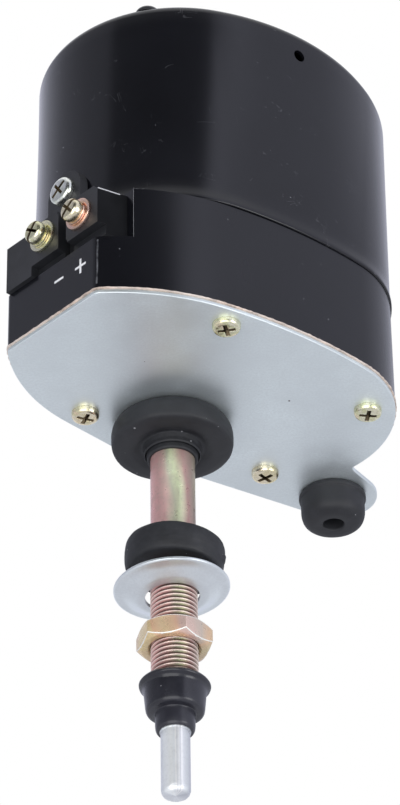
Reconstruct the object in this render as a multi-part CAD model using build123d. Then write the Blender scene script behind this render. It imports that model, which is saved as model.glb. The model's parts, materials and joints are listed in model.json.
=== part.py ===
from build123d import *
import math
import os

os.makedirs("parts", exist_ok=True)

# ---------------------------------------------------------------------------
# Wiper motor, clamped through a panel by its threaded spindle tube.
# Frame: origin on the output spindle axis, in the outer (lower) face of the
# base plate. +Z runs up into the motor cover, the spindle points along -Z.
# All sizes in millimetres.
# ---------------------------------------------------------------------------

# --- base plate, gasket, gear housing and cover heights ---------------------
PLATE_T = 1.2            # base plate thickness
GASKET_T = 0.6           # gasket thickness
HOUSING_Z0 = PLATE_T + GASKET_T
HOUSING_Z1 = 32.7        # top of the gear housing, where the cover sits
HOUSING_WALL = 2.5
DECK_T = 3.0             # web between the gear chamber and the motor chamber
COVER_Z1 = 98.0          # top of the motor cover
COVER_WALL = 1.0
COVER_EDGE_R = 3.0       # rounding of the cover's top edge

# --- plan outline of the housing (circles x, y, r) ---------------------------
RIGHT_FAR = (24.73, -3.41, 32.90)
RIGHT_NEAR = (28.38, -3.41, 29.25)
NEAR_BIG = (-59.55, 82.41, 152.12)
NEAR_LEFT = (-14.54, 1.10, 59.18)
LEFT_ARC = (6.26, -35.58, 47.17)
FACET_P = (-29.70, -45.64)       # a point on the flat facet that carries the terminals
FACET_DEG = -46.56
FAR_P = (20.60, 32.47)           # a point on the far straight edge
FAR_DEG = 210.95
BACK_P = (-22.24, 2.86)          # a point on the back left straight edge
BACK_DEG = 224.48
CORNER_R = 3.0                   # facet to near wall
LEFT_CORNER_R = 2.0              # left arc to facet
BACK_CORNER_R = 40.0             # between the two straight back edges

# --- plan outline of the cover, bottom and top -------------------------------
COVER_LEFT_X = -35.5             # leftmost point at the bottom
COVER_NEAR_P = (4.3, -53.2)      # a point the left bottom arc passes through
TOP_LEFT = (2.61, -15.80, 37.37)
TOP_MID_C = (-4.36, 10.40)
TOP_RIGHT_C = (8.80, 3.92)
TOP_BACK_R = 25.5

# --- ear with the locating foot ----------------------------------------------
EAR_NOTCH = (46.75, 20.9)
EAR_C = (43.7, 34.6)
EAR_R = 10.3
FOOT_XY = (42.1, 33.8)
FOOT_R = 8.5
FOOT_H = 9.3
FOOT_BORE_R = 2.8

# --- plate screws (head centres) -----------------------------------------------
PLATE_SCREWS = [(14.15, -43.92), (-22.22, -6.36), (24.12, 22.17), (50.37, -5.80)]
PLATE_SCREW_HEAD_R = 3.6
PLATE_SCREW_HEAD_H = 1.9
PLATE_SCREW_R = 2.0

# --- spindle -------------------------------------------------------------------
TUBE_R = 5.75
THREAD_R = 5.95
TUBE_BORE_R = 4.6
THREAD_Z0 = -40.0
TUBE_Z1 = -82.5
JOURNAL_R = 3.9          # shaft inside the tube, bushes and pinion
SHAFT_R = 3.65           # wiper arm seat below the shoulder
SHOULDER_Z = -91.2       # just below the dust cap
SHAFT_TOP = 23.0
SHAFT_TIP = -108.7
BUSH_CLEAR = 0.03

GROMMET_R = 15.75
GROMMET_H = 7.6
GROMMET_HUB_H = 11.0
RING_R = 12.75
RING_Z = (-45.0, -37.1)
RING_TILT = 3.6          # the loose ring and washer hang slightly askew on the tube
WASHER_R = 14.7
WASHER_HOLE_R = 6.9
WASHER_X = -0.5
WASHER_TILT = -3.2
WASHER_RIM_Z = -50.2
WASHER_T = 1.1
WASHER_DISH = 2.1
NUT_AF = 17.0
NUT_Z = (-67.6, -62.1)
NUT_TURN = 47.8          # direction of a corner, degrees from +X
CAP_RIM_R = 8.95
CAP_Z0 = -77.0
CAP_BODY_Z = -85.9
CAP_TIP_Z = -91.1

# --- gear train ------------------------------------------------------------------
RACK_ANGLE = 20.0                # direction of the rack, degrees from +X
PINION_M = 1.0
PINION_TEETH = 20
PINION_Z = (12.0, 20.0)
CRANK_R = 9.16                   # half of the rack travel
WHEEL_XY = (27.0, 1.0)
WHEEL_M = 0.8
WHEEL_TEETH = 45
WHEEL_Z = (52.0, 60.0)
WORM_PITCH_R = 4.5
AXLE_R = 4.0
MOTOR_Z = 56.0
MOTOR_Y = WHEEL_XY[1] - WHEEL_M * WHEEL_TEETH / 2 - WORM_PITCH_R
CASE_R = 21.5
CASE_X = (-20.0, 6.0)
STRAP_X = -7.0
STRAP_SCREWS = [(STRAP_X, MOTOR_Y + CASE_R + 3.4), (STRAP_X, MOTOR_Y - CASE_R - 3.4)]
CARRIER_SCREW = (36.1, 11.2)
LEAD_HOLE = (-22.5, -27.0)

# ---------------------------------------------------------------------------
# helpers
# ---------------------------------------------------------------------------
def sub(a, b):
    return (a[0] - b[0], a[1] - b[1])

def ang(v):
    return math.atan2(v[1], v[0])

def polar(c, r, a):
    return (c[0] + r * math.cos(a), c[1] + r * math.sin(a))

def arc(c, r, a0, a1):
    """Counter-clockwise arc about c from angle a0 to a1 (radians)."""
    while a1 < a0:
        a1 += 2 * math.pi
    m = (a0 + a1) / 2
    return ThreePointArc(polar(c, r, a0), polar(c, r, m), polar(c, r, a1))

def chain(pieces):
    """Close a run of lines and arcs on shared corner points.
    Each piece is ("line", start) or ("arc", centre, radius, angle0, angle1)."""
    starts = [p[1] if p[0] == "line" else polar(p[1], p[2], p[3]) for p in pieces]
    out = []
    for i, p in enumerate(pieces):
        a, b = starts[i], starts[(i + 1) % len(pieces)]
        if p[0] == "line":
            out.append(Line(a, b))
        else:
            a0, a1 = p[3], p[4]
            while a1 < a0:
                a1 += 2 * math.pi
            out.append(ThreePointArc(a, polar(p[1], p[2], (a0 + a1) / 2), b))
    return out

def face_of(edges):
    return make_face(edges)

def prism(face, z0, z1):
    return extrude(Pos(0, 0, z0) * face, amount=z1 - z0)

def cyl(r, z0, z1, x=0.0, y=0.0):
    return Pos(x, y, (z0 + z1) / 2) * Cylinder(r, abs(z1 - z0))

def tube(r_out, r_in, z0, z1, x=0.0, y=0.0):
    return cyl(r_out, z0, z1, x, y) - cyl(r_in, min(z0, z1) - 1, max(z0, z1) + 1, x, y)

def box(x0, x1, y0, y1, z0, z1):
    return Pos((x0 + x1) / 2, (y0 + y1) / 2, (z0 + z1) / 2) * Box(x1 - x0, y1 - y0, z1 - z0)

def xcyl(r, x0, x1, y=MOTOR_Y, z=MOTOR_Z):
    return Pos((x0 + x1) / 2, y, z) * Rot(0, 90, 0) * Cylinder(r, abs(x1 - x0))

def revolve_profile(points, loc=None):
    """Revolve a closed (r, z) polygon about the Z axis."""
    f = make_face(Polyline([(p[0], 0, p[1]) for p in points], close=True))
    s = revolve(f, Axis.Z)
    return loc * s if loc is not None else s

def save(name, shape):
    solids = shape.solids() if hasattr(shape, "solids") else [s for p in shape for s in p.solids()]
    obj = solids[0] if len(solids) == 1 else Compound(children=list(solids))
    obj.label = name
    export_step(obj, os.path.join("parts", name + ".step"))

# --- cover outlines ----------------------------------------------------------
def solve_cover_left():
    """Circle tangent inside NEAR_BIG, leftmost at COVER_LEFT_X, through COVER_NEAR_P."""
    bx, by, br = NEAR_BIG
    best = None
    lo, hi = 25.0, 50.0
    def cy_for(r):
        # centre (COVER_LEFT_X + r, cy) with distance br - r from B, lower branch
        dx = COVER_LEFT_X + r - bx
        return by - math.sqrt((br - r) ** 2 - dx ** 2)
    def err(r):
        cx, cy = COVER_LEFT_X + r, cy_for(r)
        return math.hypot(COVER_NEAR_P[0] - cx, COVER_NEAR_P[1] - cy) - r
    n = 500
    prev = err(lo)
    for i in range(1, n + 1):
        r = lo + (hi - lo) * i / n
        e = err(r)
        if prev == 0 or (prev < 0) != (e < 0):
            a, b = lo + (hi - lo) * (i - 1) / n, r
            for _ in range(60):
                m = (a + b) / 2
                if (err(a) < 0) != (err(m) < 0):
                    b = m
                else:
                    a = m
            best = (a + b) / 2
            break
        prev = e
    return (COVER_LEFT_X + best, cy_for(best), best)

COVER_LEFT = solve_cover_left()

def bottom_circles():
    return COVER_LEFT, NEAR_BIG, RIGHT_NEAR, RIGHT_FAR

def top_circles():
    rl = TOP_LEFT[2]
    rm = rl + math.dist(TOP_LEFT[:2], TOP_MID_C)
    rr = rm - math.dist(TOP_RIGHT_C, TOP_MID_C)
    xr = TOP_RIGHT_C[0] + rr
    return (TOP_LEFT, (TOP_MID_C[0], TOP_MID_C[1], rm), (TOP_RIGHT_C[0], TOP_RIGHT_C[1], rr),
            (xr - TOP_BACK_R, TOP_RIGHT_C[1], TOP_BACK_R))

def cover_edges(circles, d):
    """Left circle, big near arc, right circle, back circle and one straight back edge, inset by d."""
    c1, b, c2, c3 = circles
    t1 = ang(sub(c1, b))
    t2 = ang(sub(c2, b))
    dv = sub(c3, c1)
    phi = ang(dv) + math.acos((c1[2] - c3[2]) / math.hypot(*dv))
    p3 = polar(c3, c3[2] - d, phi)
    p1 = polar(c1, c1[2] - d, phi)
    # the long left arc is drawn in two halves
    end = t1 if t1 > phi else t1 + 2 * math.pi
    tm = (phi + end) / 2
    return chain([("arc", c1, c1[2] - d, phi, tm),
                  ("arc", c1, c1[2] - d, tm, end),
                  ("arc", b, b[2] - d, t1, t2),
                  ("arc", c2, c2[2] - d, t2, 0.0),
                  ("arc", c3, c3[2] - d, 0.0, phi),
                  ("line", p3)])

# --- housing outline -----------------------------------------------------------
def unit(deg):
    return (math.cos(math.radians(deg)), math.sin(math.radians(deg)))

def line_offset(p, deg, d):
    """A line travelled counter-clockwise round the outline, moved inwards by d (to its left)."""
    u = unit(deg)
    return (p[0] - u[1] * d, p[1] + u[0] * d), u

def line_dist(q, p, u):
    """Signed distance of q to the left of the line."""
    return u[0] * (q[1] - p[1]) - u[1] * (q[0] - p[0])

def housing_edges(d):
    rf = max(CORNER_R - d, 1.2)
    rl = max(LEFT_CORNER_R - d, 1.0)
    rb = BACK_CORNER_R - d
    fp, fu = line_offset(FACET_P, FACET_DEG, d)
    ap, au = line_offset(FAR_P, FAR_DEG, d)
    bp, bu = line_offset(BACK_P, BACK_DEG, d)
    c2, c3, b, a, e = RIGHT_NEAR, RIGHT_FAR, NEAR_BIG, NEAR_LEFT, LEFT_ARC
    # facet / near-left corner circle: inside circle a, tangent to the facet line
    def corner(circle, r, toward):
        R = circle[2] - d - r
        q = (fp[0] - fu[1] * r, fp[1] + fu[0] * r)          # line of centres
        w = sub(q, circle)
        s = w[0] * fu[0] + w[1] * fu[1]
        h2 = w[0] ** 2 + w[1] ** 2 - s * s
        k = math.sqrt(R * R - h2)
        t = -s + (k if toward > 0 else -k)
        return (q[0] + fu[0] * t, q[1] + fu[1] * t)
    f1 = corner(a, rf, +1)
    f2 = corner(e, rl, -1)
    # back corner circle between the two straight edges
    A = ((-au[1], au[0]), (-bu[1], bu[0]))
    r1 = rb + ap[0] * A[0][0] + ap[1] * A[0][1]
    r2 = rb + bp[0] * A[1][0] + bp[1] * A[1][1]
    det = A[0][0] * A[1][1] - A[0][1] * A[1][0]
    g = ((r1 * A[1][1] - r2 * A[0][1]) / det, (A[0][0] * r2 - A[1][0] * r1) / det)
    # straight edges end on the circles at their outward normals
    n_f = ang((fu[1], -fu[0]))
    n_a = ang((au[1], -au[0]))
    n_b = ang((bu[1], -bu[0]))
    ta = ang(sub(a, b))
    t2 = ang(sub(c2, b))
    tf = ang(sub(f1, a))
    te = ang(sub(f2, e))
    # the far line is tangent to c3 and the back line to e within a few hundredths: join their ends
    pa0 = polar(c3, c3[2] - d, n_a)
    pa1 = polar(g, rb, n_a)
    pb0 = polar(g, rb, n_b)
    pb1 = polar(e, e[2] - d, n_b)
    pf0 = polar(f2, rl, n_f)
    pf1 = polar(f1, rf, n_f)
    return chain([("line", pf0),
                  ("arc", f1, rf, n_f, tf),
                  ("arc", a, a[2] - d, tf, ta),
                  ("arc", b, b[2] - d, ta, t2),
                  ("arc", c2, c2[2] - d, t2, 0.0),
                  ("arc", c3, c3[2] - d, 0.0, n_a),
                  ("line", pa0),
                  ("arc", g, rb, n_a, n_b),
                  ("line", pb0),
                  ("arc", e, e[2] - d, n_b, te),
                  ("arc", f2, rl, te, n_f)])

FT = unit(FACET_DEG)                      # along the facet
FN = (FT[1], -FT[0])                      # outward from the facet
FAC = Plane(origin=(FACET_P[0], FACET_P[1], 0), x_dir=(FT[0], FT[1], 0), z_dir=(FN[0], FN[1], 0))

def fbox(a0, a1, z0, z1, o0, o1):
    """Box in facet coordinates: along the facet, height, outward."""
    return FAC.location * Pos((a0 + a1) / 2, (z0 + z1) / 2, (o0 + o1) / 2) * Box(a1 - a0, z1 - z0, o1 - o0)

def fcyl(r, o0, o1, a, z):
    """Cylinder standing out of the facet."""
    return FAC.location * Pos(a, z, (o0 + o1) / 2) * Cylinder(r, o1 - o0)

# ---------------------------------------------------------------------------
# gear housing
# ---------------------------------------------------------------------------
LEDGE_Z = 17.5           # top of the corner ledge that carries the terminal block
NOTCH_O = -7.0           # depth of the ledge behind the facet plane
DECK_Z0 = HOUSING_Z1 - DECK_T

body = prism(face_of(housing_edges(0.0)), HOUSING_Z0, HOUSING_Z1)
notch = fbox(-40, 40, LEDGE_Z, HOUSING_Z1 + 5, NOTCH_O, 30)
keep_deck = prism(face_of(cover_edges(bottom_circles(), 0.05)), DECK_Z0, HOUSING_Z1)
body = body - (notch - keep_deck)
cavity = prism(face_of(housing_edges(HOUSING_WALL)), HOUSING_Z0 - 1, DECK_Z0)
cavity = cavity - fbox(-60, 60, LEDGE_Z - 2.0, HOUSING_Z1, NOTCH_O - 2.0, 40)
body = body - cavity
# spigot ring that locates the cover
spigot = prism(face_of(cover_edges(bottom_circles(), COVER_WALL + 0.15)), HOUSING_Z1, HOUSING_Z1 + 2.5) \
    - prism(face_of(cover_edges(bottom_circles(), COVER_WALL + 1.9)), HOUSING_Z1 - 1, HOUSING_Z1 + 4)
body = body + (spigot - fbox(-30, 30, HOUSING_Z1 - 2, HOUSING_Z1 + 9, -5.2, 20))
# screw bosses down to the gasket
for (x, y) in PLATE_SCREWS:
    body = body + cyl(3.5, HOUSING_Z0, DECK_Z0 + 0.5, x, y)
for (x, y) in PLATE_SCREWS:
    body = body - cyl(PLATE_SCREW_R, HOUSING_Z0 - 1, 14.0, x, y)
# long boss for the wheel axle
body = body + cyl(7.5, 28.0, 50.4, *WHEEL_XY)
body = body - cyl(5.5, 27.0, 51.0, *WHEEL_XY)
# saddles under the motor
for x0 in (-18.5, 0.5):
    saddle = box(x0, x0 + 4, MOTOR_Y - 15, MOTOR_Y + 15, HOUSING_Z1 - 0.5, 44.0)
    body = body + (saddle - xcyl(CASE_R, x0 - 1, x0 + 5))
# pillar that carries the far end of the worm
pillar = box(36.0, 42.5, MOTOR_Y - 5.0, MOTOR_Y + 5.0, HOUSING_Z1 - 0.5, MOTOR_Z + 5.0)
pillar = pillar & prism(face_of(cover_edges(bottom_circles(), 3.4)), HOUSING_Z1 - 1, MOTOR_Z + 6)
pillar = pillar - xcyl(4.0, 35.0, 40.0) - xcyl(2.2, 39.0, 45.0)
body = body + pillar
# lugs that carry the rack guide under the deck
RD = (math.cos(math.radians(RACK_ANGLE)), math.sin(math.radians(RACK_ANGLE)))
RN = (-RD[1], RD[0])
RK = Plane(origin=(0, 0, 0), x_dir=(RD[0], RD[1], 0), z_dir=(0, 0, 1))

def rbox(s0, s1, t0, t1, z0, z1):
    """Box in rack coordinates: along the rack, across it, height."""
    return RK.location * Pos((s0 + s1) / 2, (t0 + t1) / 2, (z0 + z1) / 2) * Box(s1 - s0, t1 - t0, z1 - z0)

def rpt(s, t):
    return (s * RD[0] + t * RN[0], s * RD[1] + t * RN[1])

GUIDE_POSTS = [(-15.0, -21.2), (5.0, -21.2)]
for (s, t) in GUIDE_POSTS:
    x, y = rpt(s, t)
    body = body + cyl(3.0, 21.6, DECK_Z0 + 0.5, x, y) - cyl(1.25, 20.0, 27.0, x, y)
# drain slot and lead passage through the ledge wall behind the terminal block
body = body - fbox(-8, -3, 21.0, 26.0, NOTCH_O - 4, NOTCH_O + 1)
body = body - fbox(9, 14, 21.0, 26.0, NOTCH_O - 4, NOTCH_O + 1)
# lead passage up through the deck, and the screw holes in it
body = body - cyl(3.0, DECK_Z0 - 1, HOUSING_Z1 + 1, *LEAD_HOLE)
for (x, y) in STRAP_SCREWS:
    body = body - cyl(1.3, DECK_Z0 - 1, HOUSING_Z1 + 1, x, y)
body = body - cyl(1.3, DECK_Z0 - 1, HOUSING_Z1 + 1, *CARRIER_SCREW)
save("gear_housing", body)

# ---------------------------------------------------------------------------
# motor cover: lofted from the housing's plan to its rounder top
# ---------------------------------------------------------------------------
def cover_solid(d, z0, z1):
    w0 = face_of(cover_edges(bottom_circles(), d))
    w1 = face_of(cover_edges(top_circles(), d))
    return loft([Pos(0, 0, z0) * w0, Pos(0, 0, z1) * w1], ruled=True)

outer = cover_solid(0.0, HOUSING_Z1 + 0.05, COVER_Z1)
top_edges = outer.faces().sort_by(Axis.Z)[-1].edges()
outer = fillet(top_edges, COVER_EDGE_R)
inner = cover_solid(COVER_WALL, HOUSING_Z1 - 0.5, COVER_Z1 - COVER_WALL)
cover = outer - inner
VENT = (34.87, -40.30, 90.0)
VENT_R = 1.7
cover = cover - Pos(*VENT) * Rot(0, 0, -52.3) * Rot(0, 90, 0) * Cylinder(VENT_R, 6)
PLUG_XY = (-4.9, -47.5)
cover = cover - cyl(2.6, COVER_Z1 - 4, COVER_Z1 + 1, *PLUG_XY)
# hole for the ground screw
GROUND_A, GROUND_Z = 1.6, 41.9
TONGUE_O = -5.45
TONGUE_T = 2.55
cover = cover - fcyl(1.7, -9.5, -3.0, GROUND_A, GROUND_Z)
save("motor_cover", cover)

seal = prism(face_of(cover_edges(bottom_circles(), COVER_WALL + 0.02)), HOUSING_Z1 + 2.6, HOUSING_Z1 + 3.8) \
    - prism(face_of(cover_edges(bottom_circles(), COVER_WALL + 1.7)), HOUSING_Z1, HOUSING_Z1 + 6)
seal = seal & cover_solid(COVER_WALL + 0.03, HOUSING_Z1 + 0.05, COVER_Z1)
save("cover_seal", seal)

plug = revolve_profile([(0, COVER_Z1 - 3.0), (3.2, COVER_Z1 - 3.0), (3.2, COVER_Z1 - 1.02), (2.55, COVER_Z1 - 1.0),
                        (2.55, COVER_Z1), (3.4, COVER_Z1), (3.4, COVER_Z1 + 0.7), (2.9, COVER_Z1 + 1.6),
                        (1.7, COVER_Z1 + 2.15), (0, COVER_Z1 + 2.3)], Pos(PLUG_XY[0], PLUG_XY[1], 0))
save("cover_plug", plug)

# ---------------------------------------------------------------------------
# base plate with its ear, gasket and screws
# ---------------------------------------------------------------------------
def plate_face():
    base = face_of(housing_edges(0.0))
    # ear: far edge carried on straight, rounded end about the foot, notch towards the lobe
    u = unit(FAR_DEG)
    n_far = (u[1], -u[0])
    tangent = (EAR_C[0] + n_far[0] * EAR_R, EAR_C[1] + n_far[1] * EAR_R)
    # flank from the notch tangent to the ear's round end
    v = sub(EAR_C, EAR_NOTCH)
    D = math.hypot(*v)
    beta = ang(v)
    al = math.asin(EAR_R / D)
    Lt = math.sqrt(D * D - EAR_R ** 2)
    tp = (EAR_NOTCH[0] + Lt * math.cos(beta - al), EAR_NOTCH[1] + Lt * math.sin(beta - al))
    a0 = ang(sub(tp, EAR_C))
    a1 = ang(n_far)
    start = (9.0, 18.0)
    far0 = (FAR_P[0] + u[0] * 14.0, FAR_P[1] + u[1] * 14.0)
    ear = face_of([Line(start, EAR_NOTCH), Line(EAR_NOTCH, tp), arc(EAR_C, EAR_R, a0, a1),
                   Line(polar(EAR_C, EAR_R, a1), far0), Line(far0, start)])
    return base, ear

base_face, ear_face = plate_face()
plate = prism(base_face, 0.0, PLATE_T) + prism(ear_face, 0.0, PLATE_T)
plate = plate - cyl(TUBE_R + 0.02, -1, 3)
plate = plate - cyl(5.0, -1, 3, *FOOT_XY)
for (x, y) in PLATE_SCREWS:
    plate = plate - cyl(PLATE_SCREW_R + 0.2, -1, 3, x, y)
notch_edges = plate.edges().filter_by(Axis.Z).sort_by_distance(Vertex(EAR_NOTCH[0], EAR_NOTCH[1], PLATE_T / 2))[:1]
plate = fillet(notch_edges, 1.2)
save("base_plate", plate)

gasket = prism(face_of(housing_edges(-0.25)), PLATE_T, HOUSING_Z0) \
    - prism(face_of(housing_edges(HOUSING_WALL + 1.5)), 0, 4)
for (x, y) in PLATE_SCREWS:
    gasket = gasket + cyl(4.4, PLATE_T, HOUSING_Z0, x, y)
bx, by = PLATE_SCREWS[2]
gasket = gasket + Pos(bx, by, (PLATE_T + HOUSING_Z0) / 2) * Rot(0, 0, FAR_DEG - 90) * Pos(7, 0, 0) * Box(14, 5, GASKET_T)
gasket = gasket & prism(face_of(housing_edges(-0.25)), PLATE_T, HOUSING_Z0)
for (x, y) in PLATE_SCREWS:
    gasket = gasket - cyl(PLATE_SCREW_R + 0.2, 0, 4, x, y)
save("base_gasket", gasket)

def cross(size, width, z0, z1, x, y, turn):
    c = Pos(x, y, (z0 + z1) / 2) * Rot(0, 0, turn)
    return c * Box(size, width, z1 - z0) + c * Box(width, size, z1 - z0)

screws = []
for i, (x, y) in enumerate(PLATE_SCREWS):
    h, r = PLATE_SCREW_HEAD_H, PLATE_SCREW_HEAD_R
    s = revolve_profile([(0, -h), (1.9, -h), (2.75, -h + 0.2), (3.3, -h + 0.6), (r - 0.05, -0.75), (r, -0.35), (r, 0), (PLATE_SCREW_R - 0.01, 0),
                         (PLATE_SCREW_R - 0.01, 11.0), (1.2, 12.5), (0, 12.5)], Pos(x, y, 0))
    s = s - cross(4.8, 1.1, -h - 0.5, -h + 1.15, x, y, (8, -14, 25, -6)[i])
    screws.append(s)
save("base_plate_screws", screws)

# rubber locating foot: round pad below the ear, neck through it and a retaining flange above
foot = revolve_profile([(FOOT_BORE_R, -FOOT_H), (FOOT_R - 3.0, -FOOT_H), (FOOT_R - 1.9, -FOOT_H + 0.25),
                        (FOOT_R - 0.9, -FOOT_H + 0.9), (FOOT_R - 0.3, -FOOT_H + 1.8), (FOOT_R, -FOOT_H + 3.0),
                        (FOOT_R, -1.9), (FOOT_R + 0.45, -1.5), (FOOT_R + 0.45, -0.02),
                        (4.95, -0.02), (4.95, PLATE_T + 0.02), (6.3, PLATE_T + 0.02), (6.3, PLATE_T + 1.1),
                        (5.4, PLATE_T + 2.4), (0, PLATE_T + 2.4), (0, 0.2), (FOOT_BORE_R, 0.2)],
                       Pos(FOOT_XY[0], FOOT_XY[1], 0))
save("locating_foot", foot)

# ---------------------------------------------------------------------------
# spindle tube, bushes and the clamping hardware
# ---------------------------------------------------------------------------
tube_solid = revolve_profile([
    (TUBE_BORE_R, TUBE_Z1), (THREAD_R - 0.6, TUBE_Z1), (THREAD_R, TUBE_Z1 + 0.6), (THREAD_R, THREAD_Z0 - 0.3),
    (TUBE_R, THREAD_Z0), (TUBE_R, PLATE_T), (9.0, PLATE_T), (9.0, PLATE_T + 1.8), (7.2, PLATE_T + 2.6),
    (7.2, 9.0), (TUBE_BORE_R, 9.0)])
save("spindle_tube", tube_solid)
save("spindle_bush_upper", tube(TUBE_BORE_R, JOURNAL_R + BUSH_CLEAR, -12.0, 9.6))
save("spindle_bush_lower", tube(TUBE_BORE_R, JOURNAL_R + BUSH_CLEAR, TUBE_Z1, -64.0))

gr, gh, hh = GROMMET_R, GROMMET_H, GROMMET_HUB_H
grommet = revolve_profile([
    (TUBE_R + 0.02, -0.02), (gr - 2.6, -0.02), (gr - 1.8, -0.2), (gr - 1.0, -0.8), (gr - 0.4, -1.7), (gr - 0.1, -2.6), (gr, -3.4),
    (gr, -gh + 1.6), (gr - 0.2, -gh + 0.9), (gr - 0.65, -gh + 0.4), (gr - 1.35, -gh + 0.1), (gr - 2.2, -gh),
    (10.5, -gh), (9.6, -gh + 0.3), (8.6, -gh + 0.7), (7.6, -gh + 0.7), (7.45, -9.3), (7.25, -9.6), (7.0, -9.6), (6.95, -8.9),
    (6.6, -8.9), (6.6, -hh + 0.3), (6.3, -hh), (TUBE_R + 0.02, -hh)])
save("panel_grommet", grommet)

z0, z1 = RING_Z
ring = revolve_profile([
    (TUBE_R + 0.7, z0), (RING_R - 1.3, z0), (RING_R - 0.6, z0 + 0.5), (RING_R - 0.25, z0 + 1.4), (RING_R, z0 + 4.2), (RING_R, z1 - 1.4),
    (RING_R - 0.25, z1 - 0.5), (RING_R - 0.8, z1), (TUBE_R + 0.7, z1)])
zm = (z0 + z1) / 2
ring = Pos(0.2, 0, zm) * Rot(0, RING_TILT, 0) * Pos(0, 0, -zm) * ring
save("clamp_rubber_ring", ring)

zr = WASHER_RIM_Z
washer = revolve_profile([
    (WASHER_HOLE_R, zr - WASHER_DISH), (9.0, zr - WASHER_DISH), (12.6, zr - 0.25), (WASHER_R - 0.35, zr),
    (WASHER_R, zr + 0.3), (WASHER_R, zr + WASHER_T - 0.3), (WASHER_R - 0.35, zr + WASHER_T), (12.4, zr + WASHER_T - 0.25),
    (8.8, zr - WASHER_DISH + WASHER_T), (WASHER_HOLE_R, zr - WASHER_DISH + WASHER_T)])
washer = Pos(WASHER_X, 0, zr) * Rot(0, WASHER_TILT, 0) * Pos(0, 0, -zr) * washer
save("clamp_washer", washer)

z0, z1 = NUT_Z
hexa = Pos(0, 0, z0) * extrude(RegularPolygon(NUT_AF / 2, 6, major_radius=False, rotation=NUT_TURN), amount=z1 - z0)
cone = revolve_profile([(0, z0), (NUT_AF / 2 - 0.25, z0), (NUT_AF / 2 + 1.25, z0 + 0.85), (NUT_AF / 2 + 1.25, z1 - 0.85),
                        (NUT_AF / 2 - 0.25, z1), (0, z1)])
nut = (hexa & cone) - cyl(THREAD_R + 0.06, z0 - 1, z1 + 1) \
    - revolve_profile([(0, z0 - 0.01), (6.6, z0 - 0.01), (THREAD_R, z0 + 0.7), (0, z0 + 0.7)])
save("mounting_nut", nut)

cap = revolve_profile([
    (THREAD_R + 0.02, CAP_Z0 + 0.35), (7.6, CAP_Z0 + 0.55), (CAP_RIM_R - 0.35, CAP_Z0 - 0.55), (CAP_RIM_R, CAP_Z0 - 1.15),
    (CAP_RIM_R - 0.2, CAP_Z0 - 1.55), (7.95, CAP_Z0 - 2.2), (7.8, CAP_Z0 - 2.8), (7.38, CAP_BODY_Z + 1.1), (7.1, CAP_BODY_Z + 0.35),
    (6.4, CAP_BODY_Z), (5.1, CAP_BODY_Z - 0.1), (5.0, CAP_TIP_Z + 1.2), (4.65, CAP_TIP_Z + 0.3), (4.4, CAP_TIP_Z),
    (JOURNAL_R + 0.05, CAP_TIP_Z), (JOURNAL_R + 0.05, CAP_TIP_Z + 2.0), (4.3, CAP_TIP_Z + 2.4), (4.3, TUBE_Z1 - 1.2),
    (THREAD_R + 0.02, TUBE_Z1 - 0.3)])
save("dust_cap", cap)

# ---------------------------------------------------------------------------
# output shaft and pinion
# ---------------------------------------------------------------------------
shaft = revolve_profile([(0, SHAFT_TIP), (SHAFT_R - 0.95, SHAFT_TIP), (SHAFT_R, SHAFT_TIP + 1.1), (SHAFT_R, SHOULDER_Z),
                         (JOURNAL_R, SHOULDER_Z), (JOURNAL_R, 20.4), (JOURNAL_R - 0.5, 20.4), (JOURNAL_R - 0.5, 21.4), (JOURNAL_R, 21.4),
                         (JOURNAL_R, SHAFT_TOP - 0.5), (JOURNAL_R - 0.5, SHAFT_TOP), (0, SHAFT_TOP)])
save("output_shaft", shaft)

def gear_face(m, z, turn, backlash, add=1.0, ded=1.25, alpha=20.0):
    """Involute gear; turn is the angle (degrees) of the centre of one tooth gap."""
    r = m * z / 2
    al = math.radians(alpha)
    rb = r * math.cos(al)
    ra, rd = r + add * m, r - ded * m
    inv = lambda t: math.tan(t) - t
    ht = math.pi / (2 * z) - backlash / (2 * r)
    pts = []
    n = 6
    start = max(rb, rd + 0.05)
    for k in range(z):
        c = math.radians(turn) + math.pi / z + 2 * math.pi * k / z
        left = []
        for i in range(n + 1):
            rho = start + (ra - start) * i / n
            t = math.acos(min(1.0, rb / rho))
            h = ht + inv(al) - inv(t)
            left.append((rho, h))
        pts.append((rd * math.cos(c - left[0][1] - 0.02), rd * math.sin(c - left[0][1] - 0.02)))
        for rho, h in left:
            pts.append((rho * math.cos(c - h), rho * math.sin(c - h)))
        for rho, h in reversed(left):
            pts.append((rho * math.cos(c + h), rho * math.sin(c + h)))
        pts.append((rd * math.cos(c + left[0][1] + 0.02), rd * math.sin(c + left[0][1] + 0.02)))
    return make_face(Polyline(pts, close=True))

pz0, pz1 = PINION_Z
pinion = prism(gear_face(PINION_M, PINION_TEETH, RACK_ANGLE - 90.0, 0.2), pz0, pz1) + cyl(6.2, pz0 - 1.0, pz0 + 1)
pinion = pinion - cyl(JOURNAL_R, pz0 - 3, pz1 + 3)
save("output_pinion", pinion)
save("pinion_circlip", tube(5.6, JOURNAL_R - 0.5, 20.45, 21.35) - box(JOURNAL_R - 1.2, 8, -1.3, 1.3, 20, 22))
save("pinion_thrust_washer", tube(6.4, JOURNAL_R + 0.05, 9.7, PINION_Z[0] - 1.0))

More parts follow.
